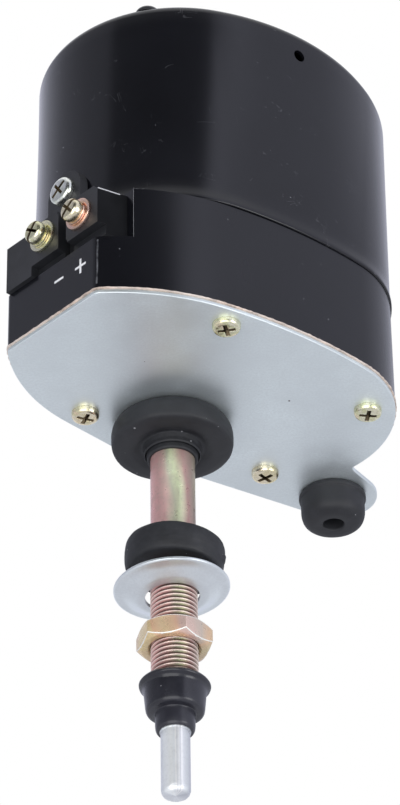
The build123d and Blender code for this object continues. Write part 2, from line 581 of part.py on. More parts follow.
# ---------------------------------------------------------------------------
# rack with its yoke, slider and guide
# ---------------------------------------------------------------------------
RP = PINION_M * PINION_TEETH / 2
RACK_Z = (13.0, 19.0)
S_W = WHEEL_XY[0] * RD[0] + WHEEL_XY[1] * RD[1]
T_W = WHEEL_XY[0] * RN[0] + WHEEL_XY[1] * RN[1]
SL_HALF = 2.5            # half the slider's length and width
YOKE_HALF_S = 4.7
YOKE_HALF_T = CRANK_R + SL_HALF + 2.5
rack_pts = []
pitch = math.pi * PINION_M
half = (pitch / 2 - 0.2) / 2
tan20 = math.tan(math.radians(20))
for k in range(-4, 5):
    c = k * pitch
    rack_pts += [(c - half - 1.25 * tan20, -RP - 1.25), (c - half + 1.0 * tan20, -RP + 1.0),
                 (c + half - 1.0 * tan20, -RP + 1.0), (c + half + 1.25 * tan20, -RP - 1.25)]
s_left = rack_pts[0][0] - 0.8
rack_pts = [(s_left, -RP - 7.0), (s_left, -RP - 1.25)] + rack_pts + [(S_W, -RP - 1.25), (S_W, -RP - 7.0)]
teeth_face = RK.location * make_face(Polyline(rack_pts, close=True))
rack = extrude(Pos(0, 0, RACK_Z[0]) * teeth_face, amount=RACK_Z[1] - RACK_Z[0])
frame_blk = rbox(S_W - YOKE_HALF_S, S_W + YOKE_HALF_S, T_W - YOKE_HALF_T, T_W + YOKE_HALF_T, *RACK_Z)
corner = frame_blk.edges().filter_by(Axis.Z)
frame_blk = fillet(corner, 2.0)
rack = rack + frame_blk
rack = rack - rbox(S_W - SL_HALF - 0.03, S_W + SL_HALF + 0.03, T_W - CRANK_R - SL_HALF - 0.3, T_W + CRANK_R + SL_HALF + 0.3,
                   RACK_Z[0] + 1.5, RACK_Z[1] + 1)
save("rack_yoke", rack)

CRANK_Z = (23.0, 27.0)
PIN_R = 1.8
slider = rbox(S_W - SL_HALF, S_W + SL_HALF, T_W + CRANK_R - SL_HALF, T_W + CRANK_R + SL_HALF, RACK_Z[0] + 1.55, RACK_Z[1])
px, py = rpt(S_W, T_W + CRANK_R)
slider = slider - cyl(PIN_R + 0.03, RACK_Z[0] + 3.0, RACK_Z[1] + 1, px, py)
save("yoke_slider", slider)

guide = rbox(-20.0, 10.5, -24.0, -RP - 7.05, 10.4, 21.5)
guide = guide + rbox(-20.0, 10.5, -24.0, -RP - 3.2, 10.4, 12.9) + rbox(-20.0, 10.5, -24.0, -RP - 5.2, 19.1, 21.5)
for (s, t) in GUIDE_POSTS:
    x, y = rpt(s, t)
    guide = guide - cyl(1.45, 9, 23, x, y) - cyl(2.6, 9, 12.6, x, y)
save("rack_guide", guide)
gs = []
for (s, t) in GUIDE_POSTS:
    x, y = rpt(s, t)
    gs.append(cyl(2.4, 11.0, 12.6, x, y) + cyl(1.24, 12.6, 26.5, x, y) - box(x - 3, x + 3, y - 0.3, y + 0.3, 10.5, 11.6))
save("rack_guide_screws", gs)

# ---------------------------------------------------------------------------
# worm wheel, axle, crank and park contact
# ---------------------------------------------------------------------------
def wheel_face():
    pts = []
    z = WHEEL_TEETH
    r = WHEEL_M * z / 2
    for k in range(z):
        c = math.radians(-90) + 2 * math.pi * k / z
        for rho, h in ((r - 1.0, -0.55), (r, -0.40), (r + 0.75, -0.26), (r + 0.75, 0.26), (r, 0.40), (r - 1.0, 0.55)):
            a = c + h / rho
            pts.append((rho * math.cos(a), rho * math.sin(a)))
    return make_face(Polyline(pts, close=True))

wz0, wz1 = WHEEL_Z
wheel = prism(wheel_face(), wz0, wz1)
wheel = wheel - tube(15.6, 8.5, wz1 - 2.5, wz1 + 1)
wheel = wheel - cyl(AXLE_R, wz0 - 1, wz1 + 1)
wheel = Pos(WHEEL_XY[0], WHEEL_XY[1], 0) * wheel
save("worm_wheel", wheel)

axle = revolve_profile([(0, CRANK_Z[0]), (3.0, CRANK_Z[0]), (3.0, CRANK_Z[1]), (AXLE_R, CRANK_Z[1]), (AXLE_R, wz1 + 0.6),
                        (AXLE_R - 0.5, wz1 + 0.6), (AXLE_R - 0.5, wz1 + 1.6), (AXLE_R, wz1 + 1.6), (AXLE_R, wz1 + 2.6),
                        (AXLE_R - 0.5, wz1 + 3.1), (0, wz1 + 3.1)], Pos(WHEEL_XY[0], WHEEL_XY[1], 0))
save("wheel_axle", axle)
save("axle_bush", tube(5.5, AXLE_R + 0.03, 28.0, 50.4, *WHEEL_XY))
save("axle_thrust_washer", tube(6.8, AXLE_R + 0.05, 50.45, WHEEL_Z[0], *WHEEL_XY))
save("axle_circlip", tube(5.8, AXLE_R - 0.5, wz1 + 0.65, wz1 + 1.55, *WHEEL_XY)
     - box(WHEEL_XY[0], WHEEL_XY[0] + 9, WHEEL_XY[1] - 1.4, WHEEL_XY[1] + 1.4, wz1, wz1 + 3))

crank = cyl(7.0, *CRANK_Z, *WHEEL_XY) + cyl(4.2, *CRANK_Z, px, py)
dx, dy = px - WHEEL_XY[0], py - WHEEL_XY[1]
crank = crank + Pos((px + WHEEL_XY[0]) / 2, (py + WHEEL_XY[1]) / 2, sum(CRANK_Z) / 2) * Rot(0, 0, math.degrees(math.atan2(dy, dx))) \
    * Box(CRANK_R, 8.4, CRANK_Z[1] - CRANK_Z[0])
crank = crank - cyl(3.0, CRANK_Z[0] - 1, CRANK_Z[1] + 1, *WHEEL_XY) - cyl(PIN_R, CRANK_Z[0] - 1, CRANK_Z[1] + 1, px, py)
save("crank_arm", crank)
save("crank_pin", cyl(PIN_R, 19.35, CRANK_Z[1] + 0.4, px, py) + cyl(PIN_R + 0.7, 21.6, CRANK_Z[0], px, py))

park = tube(15.4, 8.2, wz0 - 0.5, wz0, *WHEEL_XY) - Pos(WHEEL_XY[0], WHEEL_XY[1], wz0 - 0.3) * Rot(0, 0, 118) * Pos(12.6, 0, 0) * Box(4.2, 7.0, 3)
save("park_disc", park)

carrier = box(30.0, 42.0, 8.8, 17.4, HOUSING_Z1, 38.0) + box(30.0, 42.0, 14.6, 17.4, 37.0, 46.0)
carrier = carrier - cyl(1.65, HOUSING_Z1 - 1, 39, *CARRIER_SCREW)
save("contact_carrier", carrier)
save("contact_carrier_screw", cyl(1.28, DECK_Z0 - 0.4, 38.1, *CARRIER_SCREW) + (cyl(2.5, 38.0, 39.5, *CARRIER_SCREW)
     - box(33, 39, CARRIER_SCREW[1] - 0.35, CARRIER_SCREW[1] + 0.35, 38.9, 40.0)))
leaves = []
for x in (31.4, 34.9, 38.4):
    leaf = box(x, x + 2.4, 14.1, 14.6, 38.2, 50.9) + box(x, x + 2.4, 6.8, 14.6, 50.5, 50.9) \
        + cyl(0.9, 50.9, 51.2, x + 1.2, 8.0)
    leaves.append(leaf)
save("park_contacts", leaves)

# ---------------------------------------------------------------------------
# permanent-magnet motor
# ---------------------------------------------------------------------------
def xtube(ro, ri, x0, x1):
    return xcyl(ro, x0, x1) - xcyl(ri, min(x0, x1) - 1, max(x0, x1) + 1)

def xbox(x0, x1, dy0, dy1, dz0, dz1):
    return box(x0, x1, MOTOR_Y + dy0, MOTOR_Y + dy1, MOTOR_Z + dz0, MOTOR_Z + dz1)

cx0, cx1 = CASE_X
save("motor_case", xtube(CASE_R, CASE_R - 1.5, cx0, cx1))

mag = xtube(CASE_R - 1.52, 16.0, cx0 + 3, cx1 - 3)
m1 = mag & (xbox(cx0, cx1, -30, 30, 6.5, 30))
m2 = mag & (xbox(cx0, cx1, -30, 30, -30, -6.5))
save("field_magnets", [m1, m2])

BELL_X = -28.5
bell = xtube(CASE_R, 14.0, cx0 - 1.5, cx0) + xtube(14.5, 13.5, BELL_X, cx0 - 1.5) + xtube(14.5, 4.5, BELL_X, BELL_X + 1.2) \
    + xtube(6.5, 4.5, -31.2, BELL_X + 1.2)
save("commutator_end_bell", bell)
plate_de = xtube(CASE_R, 4.5, cx1, cx1 + 1.5) + xtube(6.5, 4.5, cx1 - 0.8, cx1 + 4.5)
save("drive_end_plate", plate_de)
save("motor_bushes", [xtube(4.5, 2.53, -31.2, BELL_X + 1.2), xtube(4.5, 2.53, cx1 - 0.8, cx1 + 4.5), xtube(4.0, 2.53, 36.0, 40.0)])

save("armature_shaft", xcyl(2.5, -31.0, 39.9))
CORE_X = (-15.0, 1.0)
core = xcyl(15.2, *CORE_X)
for k in range(9):
    a = 40.0 * k
    slot = Pos(-7, MOTOR_Y, MOTOR_Z) * Rot(a, 0, 0) * Pos(0, 0, 11.4) * Box(20, 4.6, 5.2)
    neck = Pos(-7, MOTOR_Y, MOTOR_Z) * Rot(a, 0, 0) * Pos(0, 0, 14.6) * Box(20, 1.6, 3.0)
    core = core - slot - neck
core = core - xcyl(2.5, -20, 10)
save("armature_core", core)
wind = [xtube(13.4, 5.0, CORE_X[0] - 3.4, CORE_X[0]), xtube(13.4, 5.0, CORE_X[1], CORE_X[1] + 3.0)]
wind[0] = fillet(wind[0].edges().filter_by(GeomType.CIRCLE).sort_by(Axis.X)[:2].sort_by(SortBy.LENGTH)[-1:], 1.8)
wind[1] = fillet(wind[1].edges().filter_by(GeomType.CIRCLE).sort_by(Axis.X)[-2:].sort_by(SortBy.LENGTH)[-1:], 1.6)
wall = wind[0] + wind[1]
for k in range(9):
    wall = wall + Pos(sum(CORE_X) / 2, MOTOR_Y, MOTOR_Z) * Rot(40.0 * k, 0, 0) * Pos(0, 0, 11.4) * Box(CORE_X[1] - CORE_X[0], 4.2, 4.0)
save("armature_windings", wall)

comm = xtube(6.0, 2.5, -26.6, -20.0)
for k in range(9):
    comm = comm - Pos(-23.4, MOTOR_Y, MOTOR_Z) * Rot(40.0 * k + 20, 0, 0) * Pos(0, 0, 6.0) * Box(8, 0.5, 1.2)
comm = comm + xtube(7.2, 2.5, -20.2, -18.7)
save("commutator", comm)

# single-start worm, right hand, with a tooth gap facing the wheel's -90 degree tooth
WP = math.pi * WHEEL_M
n_turns = 5.5
hlen = WP * n_turns
worm_core = Cylinder(3.5, 17.0)
helix = Pos(0, 0, -hlen / 2) * Helix(pitch=WP, height=hlen, radius=3.4)
h0 = helix @ 0
sec_plane = Plane(origin=h0, x_dir=(h0.X, h0.Y, 0), z_dir=helix % 0)
sec = sec_plane * make_face(Polyline([(0, -0.66), (0.1, -0.66), (1.1, -0.40), (1.85, -0.24), (1.85, 0.24), (1.1, 0.40), (0.1, 0.66), (0, 0.66)], close=True))
thread = sweep(sec, path=helix, is_frenet=True)
# in its own axes the worm lies along Z; local z becomes +X, local x becomes +Y
wplane = Plane(origin=(WHEEL_XY[0], MOTOR_Y, MOTOR_Z), x_dir=(0, 1, 0), z_dir=(1, 0, 0))
# thread crosses the local +x side at z = -hlen/2 + n*WP; wheel tooth is at local z = 0
phase = (-hlen / 2) % WP              # crossing position modulo the pitch
shift = (WP / 2 - phase)
worm_w = (worm_core + Pos(0, 0, shift) * thread)
worm_w = worm_w & Cylinder(6, 17.0)
worm_w = worm_w - Cylinder(2.5, 30)
worm_w = wplane.location * worm_w
save("worm", worm_w)

save("thrust_screw", xcyl(2.19, 40.1, 43.4) - box(42.8, 47, MOTOR_Y - 0.3, MOTOR_Y + 0.3, MOTOR_Z - 4, MOTOR_Z + 4))

# brush gear: insulating ring, two radial brushes and their springs
ringb = xtube(13.45, 8.2, -26.8, -22.9)
brushes, springs = [], []
for sgn in (1, -1):
    hole = xbox(-25.6, -21.6, -2.1, 2.1, *((6.0, 13.6) if sgn > 0 else (-13.6, -6.0)))
    ringb = ringb - hole
    brushes.append(xbox(-25.5, -21.7, -2.0, 2.0, *((6.05, 10.6) if sgn > 0 else (-10.6, -6.05))))
    sp = Pos(-23.6, MOTOR_Y, MOTOR_Z + sgn * 12.0) * (Cylinder(1.7, 2.6) - Cylinder(1.2, 4))
    springs.append(sp)
save("brush_plate", ringb)
save("carbon_brushes", brushes)
save("brush_springs", springs)

# strap that holds the motor down on its saddles
SX0, SX1 = STRAP_X - 4, STRAP_X + 4
strap = xtube(CASE_R + 0.9, CASE_R + 0.02, SX0, SX1) & box(SX0 - 1, SX1 + 1, MOTOR_Y - 30, MOTOR_Y + 30, MOTOR_Z - 2, MOTOR_Z + 30)
for sgn in (1, -1):
    ys = sorted((MOTOR_Y + sgn * (CASE_R + 0.02), MOTOR_Y + sgn * (CASE_R + 0.9)))
    strap = strap + box(SX0, SX1, ys[0], ys[1], HOUSING_Z1 + 0.02, MOTOR_Z - 1.9)
    yf = sorted((MOTOR_Y + sgn * (CASE_R + 0.02), MOTOR_Y + sgn * (CASE_R + 5.5)))
    strap = strap + box(SX0, SX1, yf[0], yf[1], HOUSING_Z1 + 0.02, HOUSING_Z1 + 1.02)
for (x, y) in STRAP_SCREWS:
    strap = strap - cyl(1.5, HOUSING_Z1 - 1, HOUSING_Z1 + 3, x, y)
save("motor_strap", strap)
ss = []
for (x, y) in STRAP_SCREWS:
    ss.append(cyl(1.28, DECK_Z0 - 0.4, HOUSING_Z1 + 1.1, x, y) + cyl(2.15, HOUSING_Z1 + 1.04, HOUSING_Z1 + 2.7, x, y)
              - cross(3.0, 0.6, HOUSING_Z1 + 1.9, HOUSING_Z1 + 4, x, y, 20))
save("motor_strap_screws", ss)

# ---------------------------------------------------------------------------
# terminal block on the corner ledge
# ---------------------------------------------------------------------------
BLK_A = (-15.7, 21.2)
BLK_Z1 = 31.4
BLK_O = 1.2
BLK_END = 19.0            # front corner of the sloping right end
INSERT_R = 2.3
TERM = {"signal": (-1.5, 27.3), "supply": (12.3, 26.4)}
block = fbox(BLK_A[0], BLK_A[1], LEDGE_Z, BLK_Z1, NOTCH_O + 0.05, BLK_O)
# right end slopes back to the cover
slope = make_face(Polyline([(BLK_END, BLK_O + 0.1), (BLK_A[1], NOTCH_O + 0.05), (60, NOTCH_O), (60, 20), (BLK_END, 20)], close=True))
block = block - Plane(origin=(FACET_P[0], FACET_P[1], LEDGE_Z - 1), x_dir=(FT[0], FT[1], 0), z_dir=(0, 0, -1)).location \
    * extrude(slope, amount=-40)
# the lower front edge is set back right of the left cheek
block = block - fbox(-6.0, 30, LEDGE_Z - 1, LEDGE_Z + 3.0, -1.2, 5)
# well between the two terminals
block = block - fbox(4.2, 7.6, LEDGE_Z - 1, BLK_Z1 + 1, -2.8, 5)
# tongue with a round top against the cover, for the ground screw
tongue = fbox(GROUND_A - 6.2, GROUND_A + 6.2, BLK_Z1 - 1, GROUND_Z, TONGUE_O + 0.08, TONGUE_O + TONGUE_T) \
    + fcyl(6.2, TONGUE_O + 0.08, TONGUE_O + TONGUE_T, GROUND_A, GROUND_Z)
block = block + tongue
# raised pads behind the two terminals
for a, z in TERM.values():
    block = block + fbox(a - 5.2, a + 5.2, z - 5.0, BLK_Z1 + 1.2, -5.0, BLK_O - 0.02)
block = block - cover_solid(-0.08, HOUSING_Z1 - 0.1, COVER_Z1)
block = block - prism(face_of(cover_edges(bottom_circles(), 0.0)), DECK_Z0 - 0.05, HOUSING_Z1 + 0.05)
for a, z in TERM.values():
    block = block - fcyl(1.75, -12, 5, a, z) - fcyl(INSERT_R, -12, -2.5, a, z)
block = block - fcyl(1.75, -12, 5, GROUND_A, GROUND_Z)
save("terminal_block", block)

def terminal_screw(a, z, turn):
    f0 = BLK_O + 1.75
    s = fcyl(1.7, -6.4, f0, a, z) + (FAC.location * Pos(a, z, 0) * revolve_profile(
        [(0, f0), (3.05, f0), (3.05, f0 + 0.9), (2.7, f0 + 1.6), (1.9, f0 + 2.05), (0, f0 + 2.15)]))
    slot = FAC.location * Pos(a, z, f0 + 1.9) * Rot(0, 0, turn)
    s = s - slot * Box(8, 0.8, 1.9) - slot * Box(0.8, 3.8, 1.9)
    return s

def terminal_washers(a, z, turn):
    w1 = fcyl(4.3, BLK_O, BLK_O + 0.85, a, z)
    w2 = fcyl(3.4, BLK_O + 0.85, BLK_O + 1.75, a, z)
    w = (w1 + w2) - fcyl(1.85, BLK_O - 1, BLK_O + 3, a, z)
    return w

save("signal_terminal_screw", terminal_screw(*TERM["signal"], 55))
save("supply_terminal_screw", terminal_screw(*TERM["supply"], 40))
save("signal_terminal_washers", terminal_washers(*TERM["signal"], 0))
save("supply_terminal_washers", terminal_washers(*TERM["supply"], 0))
save("terminal_inserts", [fcyl(INSERT_R - 0.01, -6.8, -2.52, a, z) - fcyl(1.71, -8, 0, a, z) for a, z in TERM.values()])
g0 = TONGUE_O + TONGUE_T
gscrew = fcyl(1.65, -8.3, g0, GROUND_A, GROUND_Z) + (FAC.location * Pos(GROUND_A, GROUND_Z, 0) * revolve_profile(
    [(0, g0), (3.85, g0), (3.85, g0 + 0.8), (3.4, g0 + 1.5), (2.3, g0 + 2.0), (0, g0 + 2.15)]))
gs_loc = FAC.location * Pos(GROUND_A, GROUND_Z, g0 + 1.9) * Rot(0, 0, 35)
gscrew = gscrew - gs_loc * Box(4.6, 0.85, 1.9) - gs_loc * Box(0.85, 4.6, 1.9)
save("ground_screw", gscrew)

# internal leads
def lead(points, r, d=1.7):
    path = FilletPolyline(*points, radius=r)
    e0 = path.edges().sort_by_distance(Vertex(*points[0]))[0]
    t = (Vector(*points[1]) - Vector(*points[0])).normalized()
    return sweep(Plane(origin=points[0], z_dir=t) * Circle(d / 2), path=path)

save("supply_lead", lead([(LEAD_HOLE[0], LEAD_HOLE[1], 25.0), (LEAD_HOLE[0], LEAD_HOLE[1], 38.0), (-25.0, -22.5, 39.9)], 1.8))
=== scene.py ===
import json
import math
import random

import bmesh
import bpy
from mathutils import Matrix, Vector, noise


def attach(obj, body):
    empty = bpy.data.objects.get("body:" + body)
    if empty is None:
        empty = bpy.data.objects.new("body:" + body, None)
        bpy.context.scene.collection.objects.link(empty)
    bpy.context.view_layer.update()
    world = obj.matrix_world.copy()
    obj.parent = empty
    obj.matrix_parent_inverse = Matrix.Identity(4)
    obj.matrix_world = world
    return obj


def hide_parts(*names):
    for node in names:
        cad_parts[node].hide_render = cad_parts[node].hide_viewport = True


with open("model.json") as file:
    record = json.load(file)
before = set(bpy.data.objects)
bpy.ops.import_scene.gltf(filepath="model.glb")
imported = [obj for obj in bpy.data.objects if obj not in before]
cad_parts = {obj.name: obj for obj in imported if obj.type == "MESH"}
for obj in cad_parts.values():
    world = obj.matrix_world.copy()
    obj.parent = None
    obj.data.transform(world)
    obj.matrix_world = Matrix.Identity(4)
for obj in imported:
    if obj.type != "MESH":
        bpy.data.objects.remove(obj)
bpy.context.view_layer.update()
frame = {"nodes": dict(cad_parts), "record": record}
random.seed(7)
MM = 0.001
scene = bpy.context.scene

# ---------------------------------------------------------------------------
# sizes shared with the construction (millimetres)
# ---------------------------------------------------------------------------
HZ0, HZ1 = 1.8, 32.7
COVER_Z1 = 98.0
RIGHT_FAR = (24.73, -3.41, 32.90)
RIGHT_NEAR = (28.38, -3.41, 29.25)
NEAR_BIG = (-59.55, 82.41, 152.12)
NEAR_LEFT = (-14.54, 1.10, 59.18)
LEFT_ARC = (6.26, -35.58, 47.17)
FACET_P = (-29.70, -45.64)
FACET_DEG = -46.56
FAR_P = (20.60, 32.47)
FAR_DEG = 210.95
BACK_P = (-22.24, 2.86)
BACK_DEG = 224.48
TOP_LEFT = (2.61, -15.80, 37.37)
TOP_MID_C = (-4.36, 10.40)
TOP_RIGHT_C = (8.80, 3.92)
TOP_BACK_R = 25.5
SCREW_XY = ((14.15, -43.92), (-22.22, -6.36), (24.12, 22.17), (50.37, -5.80))
FOOT_XY = (42.1, 33.8)
VENT, VENT_DEG = (34.87, -40.30, 90.0), -52.3
PLUG_XY = (-4.9, -47.5)
GROUND_AZ = (1.6, 41.9)


def polar(c, r, a):
    return (c[0] + r * math.cos(a), c[1] + r * math.sin(a))


def vang(v):
    return math.atan2(v[1], v[0])


def vsub(a, b):
    return (a[0] - b[0], a[1] - b[1])


def unit(deg):
    return (math.cos(math.radians(deg)), math.sin(math.radians(deg)))


def arc_run(c, r, a0, a1, n):
    while a1 < a0:
        a1 += 2 * math.pi
    return [polar(c, r, a0 + (a1 - a0) * i / n) for i in range(n)]


def line_run(p, q, n):
    return [(p[0] + (q[0] - p[0]) * i / n, p[1] + (q[1] - p[1]) * i / n) for i in range(n)]


def cover_left():
    bx, by, br = NEAR_BIG
    lo, hi = 25.0, 50.0

    def cyf(r):
        return by - math.sqrt((br - r) ** 2 - (-35.5 + r - bx) ** 2)

    def err(r):
        return math.hypot(4.3 - (-35.5 + r), -53.2 - cyf(r)) - r

    best, n, prev = 37.4, 500, err(lo)
    for i in range(1, n + 1):
        r = lo + (hi - lo) * i / n
        e = err(r)
        if (prev < 0) != (e < 0):
            a, b = lo + (hi - lo) * (i - 1) / n, r
            for _ in range(60):
                m = (a + b) / 2
                if (err(a) < 0) != (err(m) < 0):
                    b = m
                else:
                    a = m
            best = (a + b) / 2
            break
        prev = e
    return (-35.5 + best, cyf(best), best)


COVER_LEFT = cover_left()
BOTTOM = (COVER_LEFT, NEAR_BIG, RIGHT_NEAR, RIGHT_FAR)
_rm = TOP_LEFT[2] + math.dist(TOP_LEFT[:2], TOP_MID_C)
_rr = _rm - math.dist(TOP_RIGHT_C, TOP_MID_C)
TOP = (TOP_LEFT, (TOP_MID_C[0], TOP_MID_C[1], _rm), (TOP_RIGHT_C[0], TOP_RIGHT_C[1], _rr),
       (TOP_RIGHT_C[0] + _rr - TOP_BACK_R, TOP_RIGHT_C[1], TOP_BACK_R))


def cover_pts(circles, d, n=(110, 50, 44, 70, 26)):
    c1, b, c2, c3 = circles
    t1, t2 = vang(vsub(c1, b)), vang(vsub(c2, b))
    dv = vsub(c3, c1)
    phi = vang(dv) + math.acos((c1[2] - c3[2]) / math.hypot(*dv))
    p3, p1 = polar(c3, c3[2] - d, phi), polar(c1, c1[2] - d, phi)
    out = arc_run(c1, c1[2] - d, phi, t1, n[0])
    out += arc_run(b, b[2] - d, t1, t2, n[1])
    out += arc_run(c2, c2[2] - d, t2, 0.0, n[2])
    out += arc_run(c3, c3[2] - d, 0.0, phi, n[3])
    out += line_run(p3, p1, n[4])
    return out


def housing_pts(d, k=1.0):
    rf, rl, rb = max(3.0 - d, 1.2), max(2.0 - d, 1.0), 40.0 - d

    def off(p, deg):
        u = unit(deg)
        return (p[0] - u[1] * d, p[1] + u[0] * d), u

    fp, fu = off(FACET_P, FACET_DEG)
    ap, au = off(FAR_P, FAR_DEG)
    bp, bu = off(BACK_P, BACK_DEG)
    c2, c3, b, a, e = RIGHT_NEAR, RIGHT_FAR, NEAR_BIG, NEAR_LEFT, LEFT_ARC

    def corner(circle, r, toward):
        R = circle[2] - d - r
        q = (fp[0] - fu[1] * r, fp[1] + fu[0] * r)
        w = vsub(q, circle)
        s = w[0] * fu[0] + w[1] * fu[1]
        h2 = w[0] ** 2 + w[1] ** 2 - s * s
        kk = math.sqrt(R * R - h2)
        t = -s + (kk if toward > 0 else -kk)
        return (q[0] + fu[0] * t, q[1] + fu[1] * t)

    f1, f2 = corner(a, rf, 1), corner(e, rl, -1)
    A0, A1 = (-au[1], au[0]), (-bu[1], bu[0])
    r1 = rb + ap[0] * A0[0] + ap[1] * A0[1]
    r2 = rb + bp[0] * A1[0] + bp[1] * A1[1]
    det = A0[0] * A1[1] - A0[1] * A1[0]
    g = ((r1 * A1[1] - r2 * A0[1]) / det, (A0[0] * r2 - A1[0] * r1) / det)
    n_f, n_a, n_b = vang((fu[1], -fu[0])), vang((au[1], -au[0])), vang((bu[1], -bu[0]))
    ta, t2, tf, te = vang(vsub(a, b)), vang(vsub(c2, b)), vang(vsub(f1, a)), vang(vsub(f2, e))
    m = lambda x: max(2, int(x * k))
    out = line_run(polar(f2, rl, n_f), polar(f1, rf, n_f), m(12))
    out += arc_run(f1, rf, n_f, tf, m(12))
    out += arc_run(a, a[2] - d, tf, ta, m(26))
    out += arc_run(b, b[2] - d, ta, t2, m(30))
    out += arc_run(c2, c2[2] - d, t2, 0.0, m(26))
    out += arc_run(c3, c3[2] - d, 0.0, n_a, m(44))
    out += line_run(polar(c3, c3[2] - d, n_a), polar(g, rb, n_a), m(8))
    out += arc_run(g, rb, n_a, n_b, m(10))
    out += line_run(polar(g, rb, n_b), polar(e, e[2] - d, n_b), m(4))
    out += arc_run(e, e[2] - d, n_b, te, m(36))
    out += arc_run(f2, rl, te, n_f, m(8))
    return out


FT = unit(FACET_DEG)
FN = (FT[1], -FT[0])
# facet coordinates: along the facet, up, outward
FACET_M = Matrix(((FT[0], 0, FN[0], FACET_P[0]), (FT[1], 0, FN[1], FACET_P[1]), (0, 1, 0, 0), (0, 0, 0, 1)))


# ---------------------------------------------------------------------------
# mesh helpers
# ---------------------------------------------------------------------------
def to_obj(name, verts, faces, material, body="motor_unit", angle=35.0, uv=None):
    me = bpy.data.meshes.new(name)
    me.from_pydata([(x * MM, y * MM, z * MM) for x, y, z in verts], [], faces)
    me.update()
    if uv is not None:
        layer = me.uv_layers.new(name="UVMap")
        for loop in me.loops:
            layer.data[loop.index].uv = uv[loop.vertex_index]
    ob = bpy.data.objects.new(name, me)
    scene.collection.objects.link(ob)
    fix_normals(ob)
    shade(ob, angle)
    if material is not None:
        me.materials.append(material)
    if body:
        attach(ob, body)
    return ob


def fix_normals(ob):
    bm = bmesh.new()
    bm.from_mesh(ob.data)
    bmesh.ops.recalc_face_normals(bm, faces=bm.faces)
    bm.to_mesh(ob.data)
    bm.free()


def shade(ob, angle=35.0):
    me = ob.data
    me.polygons.foreach_set("use_smooth", [True] * len(me.polygons))
    me.set_sharp_from_angle(angle=math.radians(angle))


def bake(ob, angle=35.0):
    """Apply the modifiers and set the shading again."""
    bpy.context.view_layer.update()
    dg = bpy.context.evaluated_depsgraph_get()
    me = bpy.data.meshes.new_from_object(ob.evaluated_get(dg))
    mats = [m for m in ob.data.materials]
    ob.modifiers.clear()
    ob.data = me
    if not me.materials:
        for m in mats:
            me.materials.append(m)
    shade(ob, angle)
    return ob


def weigh(ob):
    """Let the large flat faces set the normals, so that only the rounded edges shade round."""
    m = ob.modifiers.new("weigh", "WEIGHTED_NORMAL")
    m.mode = "FACE_AREA"
    m.weight = 100
    m.keep_sharp = True
    bpy.context.view_layer.update()
    dg = bpy.context.evaluated_depsgraph_get()
    me = bpy.data.meshes.new_from_object(ob.evaluated_get(dg))
    mats = [x for x in ob.data.materials]
    ob.modifiers.clear()
    ob.data = me
    if not me.materials:
        for x in mats:
            me.materials.append(x)


def bevel(ob, width, segments=2, angle=30.0):
    m = ob.modifiers.new("bevel", "BEVEL")
    m.width = width * MM
    m.segments = segments
    m.limit_method = "ANGLE"
    m.angle_limit = math.radians(angle)
    m.use_clamp_overlap = True


def cut(ob, *others, op="DIFFERENCE"):
    for o in others:
        m = ob.modifiers.new("cut", "BOOLEAN")
        m.operation = op
        m.solver = "EXACT"
        m.object = o
    bake(ob)
    for o in others:
        bpy.data.objects.remove(o, do_unlink=True)
    return ob


def loose(name, verts, faces, matrix=None):
    """A mesh used only as a cutter."""
    me = bpy.data.meshes.new(name)
    pts = [Vector(v) for v in verts]
    if matrix is not None:
        pts = [matrix @ p for p in pts]
    me.from_pydata([p * MM for p in pts], [], faces)
    ob = bpy.data.objects.new(name, me)
    scene.collection.objects.link(ob)
    fix_normals(ob)
    return ob


def box_data(x0, x1, y0, y1, z0, z1):
    v = [(x, y, z) for z in (z0, z1) for y in (y0, y1) for x in (x0, x1)]
    f = [(0, 2, 3, 1), (4, 5, 7, 6), (0, 1, 5, 4), (1, 3, 7, 5), (3, 2, 6, 7), (2, 0, 4, 6)]
    return v, f


def prism_data(pts, z0, z1):
    n = len(pts)
    v = [(x, y, z0) for x, y in pts] + [(x, y, z1) for x, y in pts]
    f = [tuple(range(n - 1, -1, -1)), tuple(range(n, 2 * n))]
    f += [(i, (i + 1) % n, n + (i + 1) % n, n + i) for i in range(n)]
    return v, f


def circle_pts(r, n=48, cx=0.0, cy=0.0, a0=0.0):
    return [(cx + r * math.cos(a0 + 2 * math.pi * i / n), cy + r * math.sin(a0 + 2 * math.pi * i / n)) for i in range(n)]


def round_profile(pts, r, n=4, closed=True):
    """Round the corners of an (r, z) polyline with short curves."""
    out = []
    m = len(pts)
    for i, p in enumerate(pts):
        rr = r[i] if isinstance(r, (list, tuple)) else r
        if rr <= 0 or (not closed and i in (0, m - 1)):
            out.append(p)
            continue
        a, b = pts[i - 1], pts[(i + 1) % m]
        la, lb = math.dist(a, p), math.dist(b, p)
        t = min(rr, la * 0.45, lb * 0.45)
        s = (p[0] + (a[0] - p[0]) * t / la, p[1] + (a[1] - p[1]) * t / la)
        e = (p[0] + (b[0] - p[0]) * t / lb, p[1] + (b[1] - p[1]) * t / lb)
        for k in range(n + 1):
            u = k / n
            out.append(((1 - u) ** 2 * s[0] + 2 * u * (1 - u) * p[0] + u * u * e[0],
                        (1 - u) ** 2 * s[1] + 2 * u * (1 - u) * p[1] + u * u * e[1]))
    return out


